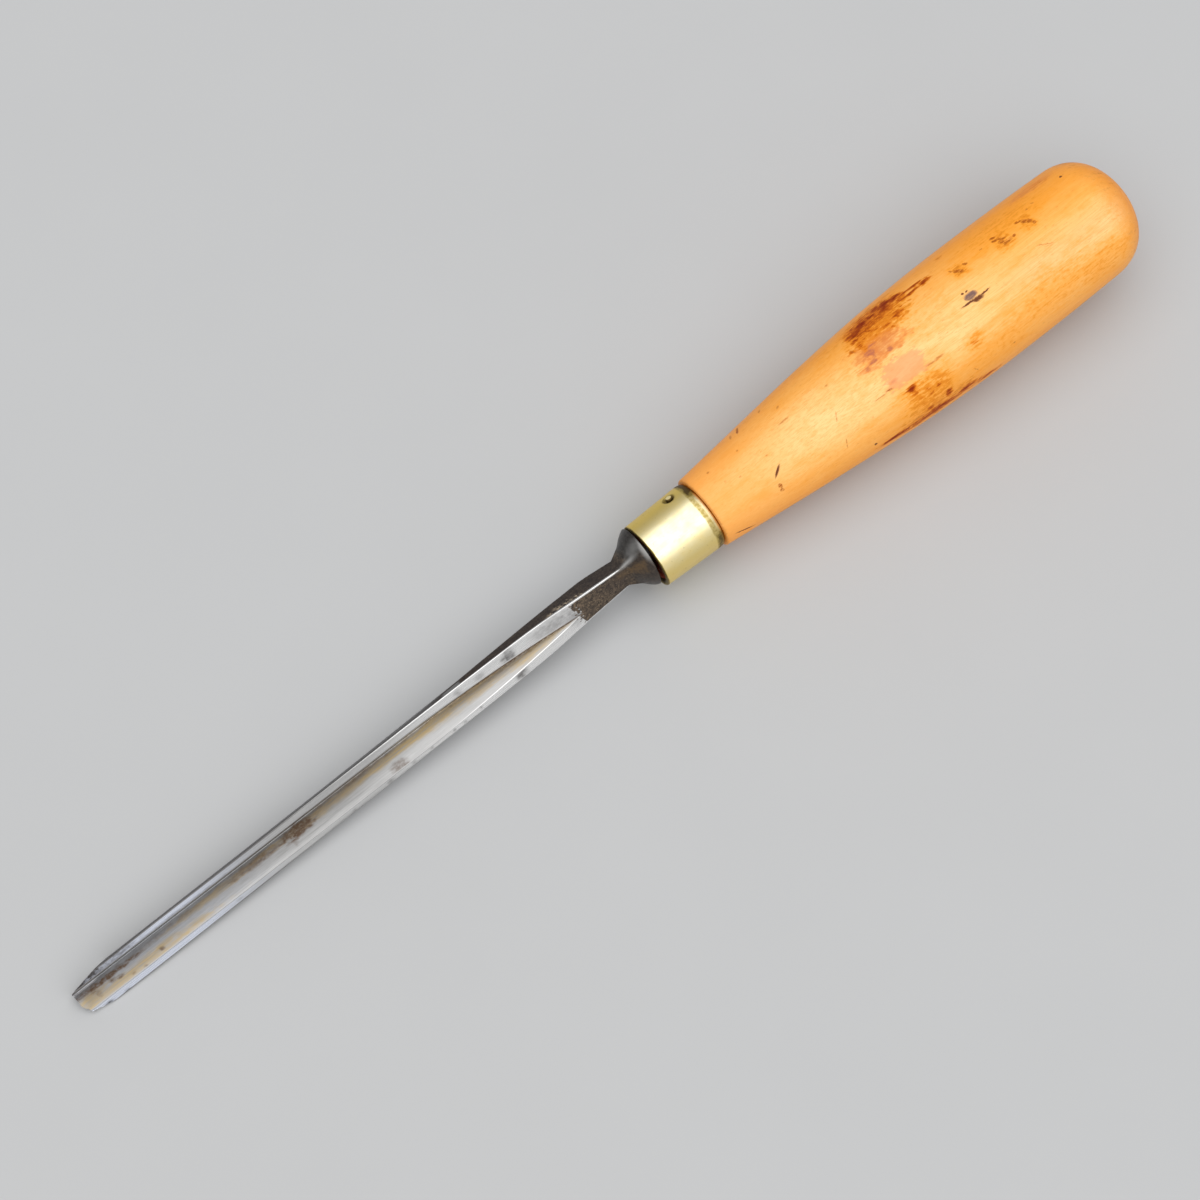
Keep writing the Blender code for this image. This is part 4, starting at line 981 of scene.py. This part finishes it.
def steel():
    n = Finish("carving_steel", SEAT)
    (
        scale, side, patina, bright, polish, blue_reflection, tan, rust, smudge,
        bolster, ruddy, painted_sheen, umber, flakes, ground, hone,
    ) = map(n.field, BLADE_FIELDS)
    stroke = n.node("SeparateXYZ", {0: n.stretch(0.3, 0)}).outputs[0]
    lines = n.node("CombineXYZ", {0: n.times(hone, 2.2 * HONE_SPAN), 1: stroke}).outputs[0]
    lines = n.noise(lines, 1, 2)
    drawn, wiped, scratch = (
        n.blend(ground, n.streaked(*how), lines)
        for how in ((0.05, 4.5, 4, 0.6), (0.28, 1.6, 4, 0.6), (0.11, 9, 2))
    )
    specks = n.range(n.streaked(1.1, 1.6, 4, 0.65), 0.3, 0.62, 0.25, 1.25)
    # Forge scale
    forged = n.noise(n.place, 1.5, 5, 0.7)
    n.colour = n.mix(n.range(forged, 0.36, 0.66), (0.016, 0.011, 0.008), (0.15, 0.106, 0.068))
    n.coat(n.range(n.noise(n.place, 0.35), 0.42, 0.66, 0, 0.55), (0.032, 0.023, 0.018))
    chips = n.range(n.streaked(2.6, 3.2), 0.56, 0.66)
    n.coat(n.times(chips, 0.6), (0.25, 0.18, 0.115))
    n.coat(n.times(side, 0.72), (0.016, 0.01, 0.0095))
    n.coat(bolster, n.mix(n.range(forged, 0.35, 0.65), (0.024, 0.021, 0.019), (0.066, 0.06, 0.055)))
    browned = n.mix(n.range(forged, 0.4, 0.62), (0.022, 0.015, 0.011), (0.06, 0.04, 0.026))
    n.coat(n.times(umber, 0.8), browned)
    n.coat(n.times(ruddy, specks, clamp=True), (0.108, 0.066, 0.03))
    # Painted highlight on the bolster
    n.coat(n.times(painted_sheen, 0.9), (0.33, 0.325, 0.315))
    n.coat(n.times(n.times(flakes, n.range(forged, 0.45, 0.56)), 0.95), (0.52, 0.42, 0.3))
    crust = n.colour
    # Ground and honed faces
    streaks = n.plus(n.times(wiped, 0.5), n.times(drawn, 0.5))
    grey = n.mix(n.range(streaks, 0.35, 0.65), (0.225, 0.223, 0.22), (0.335, 0.333, 0.33))
    bare = n.mix(n.range(drawn, 0.3, 0.7), (0.78, 0.775, 0.77), (0.92, 0.915, 0.905))
    n.colour = n.mix(polish, grey, bare)
    # Painted blue reflection
    n.tint(n.times(blue_reflection, 0.8), (0.95, 1.02, 1.2))
    n.tint(n.range(scratch, 0.6, 0.78, 0, 0.3), (0.45, 0.44, 0.43))
    # Stains: golden, rust brown and grey, and the patina of the outer faces
    tan = n.times(tan, n.range(streaks, 0.36, 0.58, 0.35, 1.1), clamp=True)
    n.tint(tan, (1.14, 0.88, 0.5))
    rust = n.times(rust, specks, clamp=True)
    n.coat(rust, (0.112, 0.066, 0.038))
    smudge = n.times(smudge, n.range(specks, 0.25, 1.25, 0.55, 1.2), clamp=True)
    n.coat(smudge, (0.095, 0.086, 0.084))
    n.coat(patina, n.mix(n.range(drawn, 0.3, 0.7), (0.02, 0.017, 0.018), (0.056, 0.048, 0.048)))
    scale = n.times(scale, n.less(1, bright), clamp=True)
    ragged = n.range(n.scaled(forged, 0.9, n.less(scale, 0.45)), 0.3, 0.7)
    scale = n.times(ragged, n.range(scale, 0.02, 0.1), clamp=True)
    n.coat(scale, crust)
    rough = n.blend(polish, n.range(wiped, 0.3, 0.7, 0.36, 0.46), n.range(drawn, 0.3, 0.7, 0.22, 0.32))
    rough = n.blend(n.most(n.most(rust, smudge), n.times(tan, 0.4)), rough, 0.55)
    rough = n.blend(patina, rough, 0.5)
    rough = n.blend(scale, rough, n.blend(bolster, n.range(forged, 0.3, 0.7, 0.66, 0.48), 0.36))
    metal = n.blend(patina, n.less(1, n.times(rust, 0.6)), 0.25)
    metal = n.blend(scale, metal, n.blend(n.less(bolster, umber, clamp=True), 0.25, 0.6))
    pits = n.times(n.most(scale, rust), forged)
    normal = n.bump(pits, 0.55, 0.08, n.bump(scratch, 0.07, 0.02))
    return n.finish(Roughness=rough, Metallic=metal, Normal=normal)


def settle(piece, material, node):
    """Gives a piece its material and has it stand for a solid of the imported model."""
    piece.data.materials.append(material)
    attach(piece, "root")
    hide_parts(node)


def stage():
    """A plain pale floor, an even pale sky and one large soft lamp overhead."""
    mesh = bpy.data.meshes.new("floor")
    signs = ((-1, -1), (1, -1), (1, 1), (-1, 1))
    mesh.from_pydata([(FLOOR_HALF * x, FLOOR_HALF * y, 0.0) for x, y in signs], [], [(0, 1, 2, 3)])
    floor = link("floor", mesh)
    n = Finish("pale_floor", Matrix())
    n.colour = n.mix(n.streaked(0.02, 0.02, 4), (0.468, 0.473, 0.478), (0.488, 0.493, 0.498))
    mesh.materials.append(n.finish(Roughness=0.6, Specular_IOR_Level=0.2))
    world = bpy.data.worlds.new("studio")
    bpy.context.scene.world = world
    sky = Nodes(world)
    way = sky.node("SeparateXYZ", {0: sky.node("TexCoord").outputs["Generated"]}).outputs
    rise = sky.scaled(way["Z"], SKY_RISE, SKY_LEVEL)
    side = sky.math("MINIMUM", way["Y"], 0, 0)
    glow = sky.scaled(sky.times(side, side), SKY_GLOW, rise)
    sky.put(sky.tree.nodes["Background"].inputs["Color"], glow)
    lamp = bpy.data.lights.new("softbox", "AREA")
    lamp.shape = "DISK"
    lamp.size = LAMP_SIZE
    lamp.energy = LAMP_POWER
    link("softbox", lamp).matrix_world = turn_x(LAMP_LEAN) @ Matrix.Translation((0, 0, LAMP_DISTANCE))


def camera():
    data = bpy.data.cameras.new("camera")
    data.lens = CAMERA_LENS
    data.sensor_width = CAMERA_SENSOR
    data.clip_start = CAMERA_CLIP
    made = link("camera", data)
    aim = Matrix.Rotation(-CAMERA_AZIMUTH, 4, "Z") @ turn_x(QUARTER_TURN - CAMERA_ELEVATION)
    made.matrix_world = Matrix.Translation(CAMERA_AT) @ aim
    bpy.context.scene.camera = made


bpy.context.scene.view_settings.view_transform = "Standard"
camera()
stage()
settle(make_blade(), steel(), "blade")
settle(make_handle(), boxwood(), "handle")
ferrule_finish = brass("ferrule_brass", (0.97, 0.9, 0.63), (0.9, 0.69, 0.225), (0.88, 0.64, 0.13), 0.385)
settle(make_ferrule(), ferrule_finish, "ferrule")
pin_finish = brass("pin_brass", (1, 0.9, 0.56), (0.98, 0.84, 0.44), (0.99, 0.87, 0.5), 0.55)
settle(make_pin(), pin_finish, "ferrule_pin")
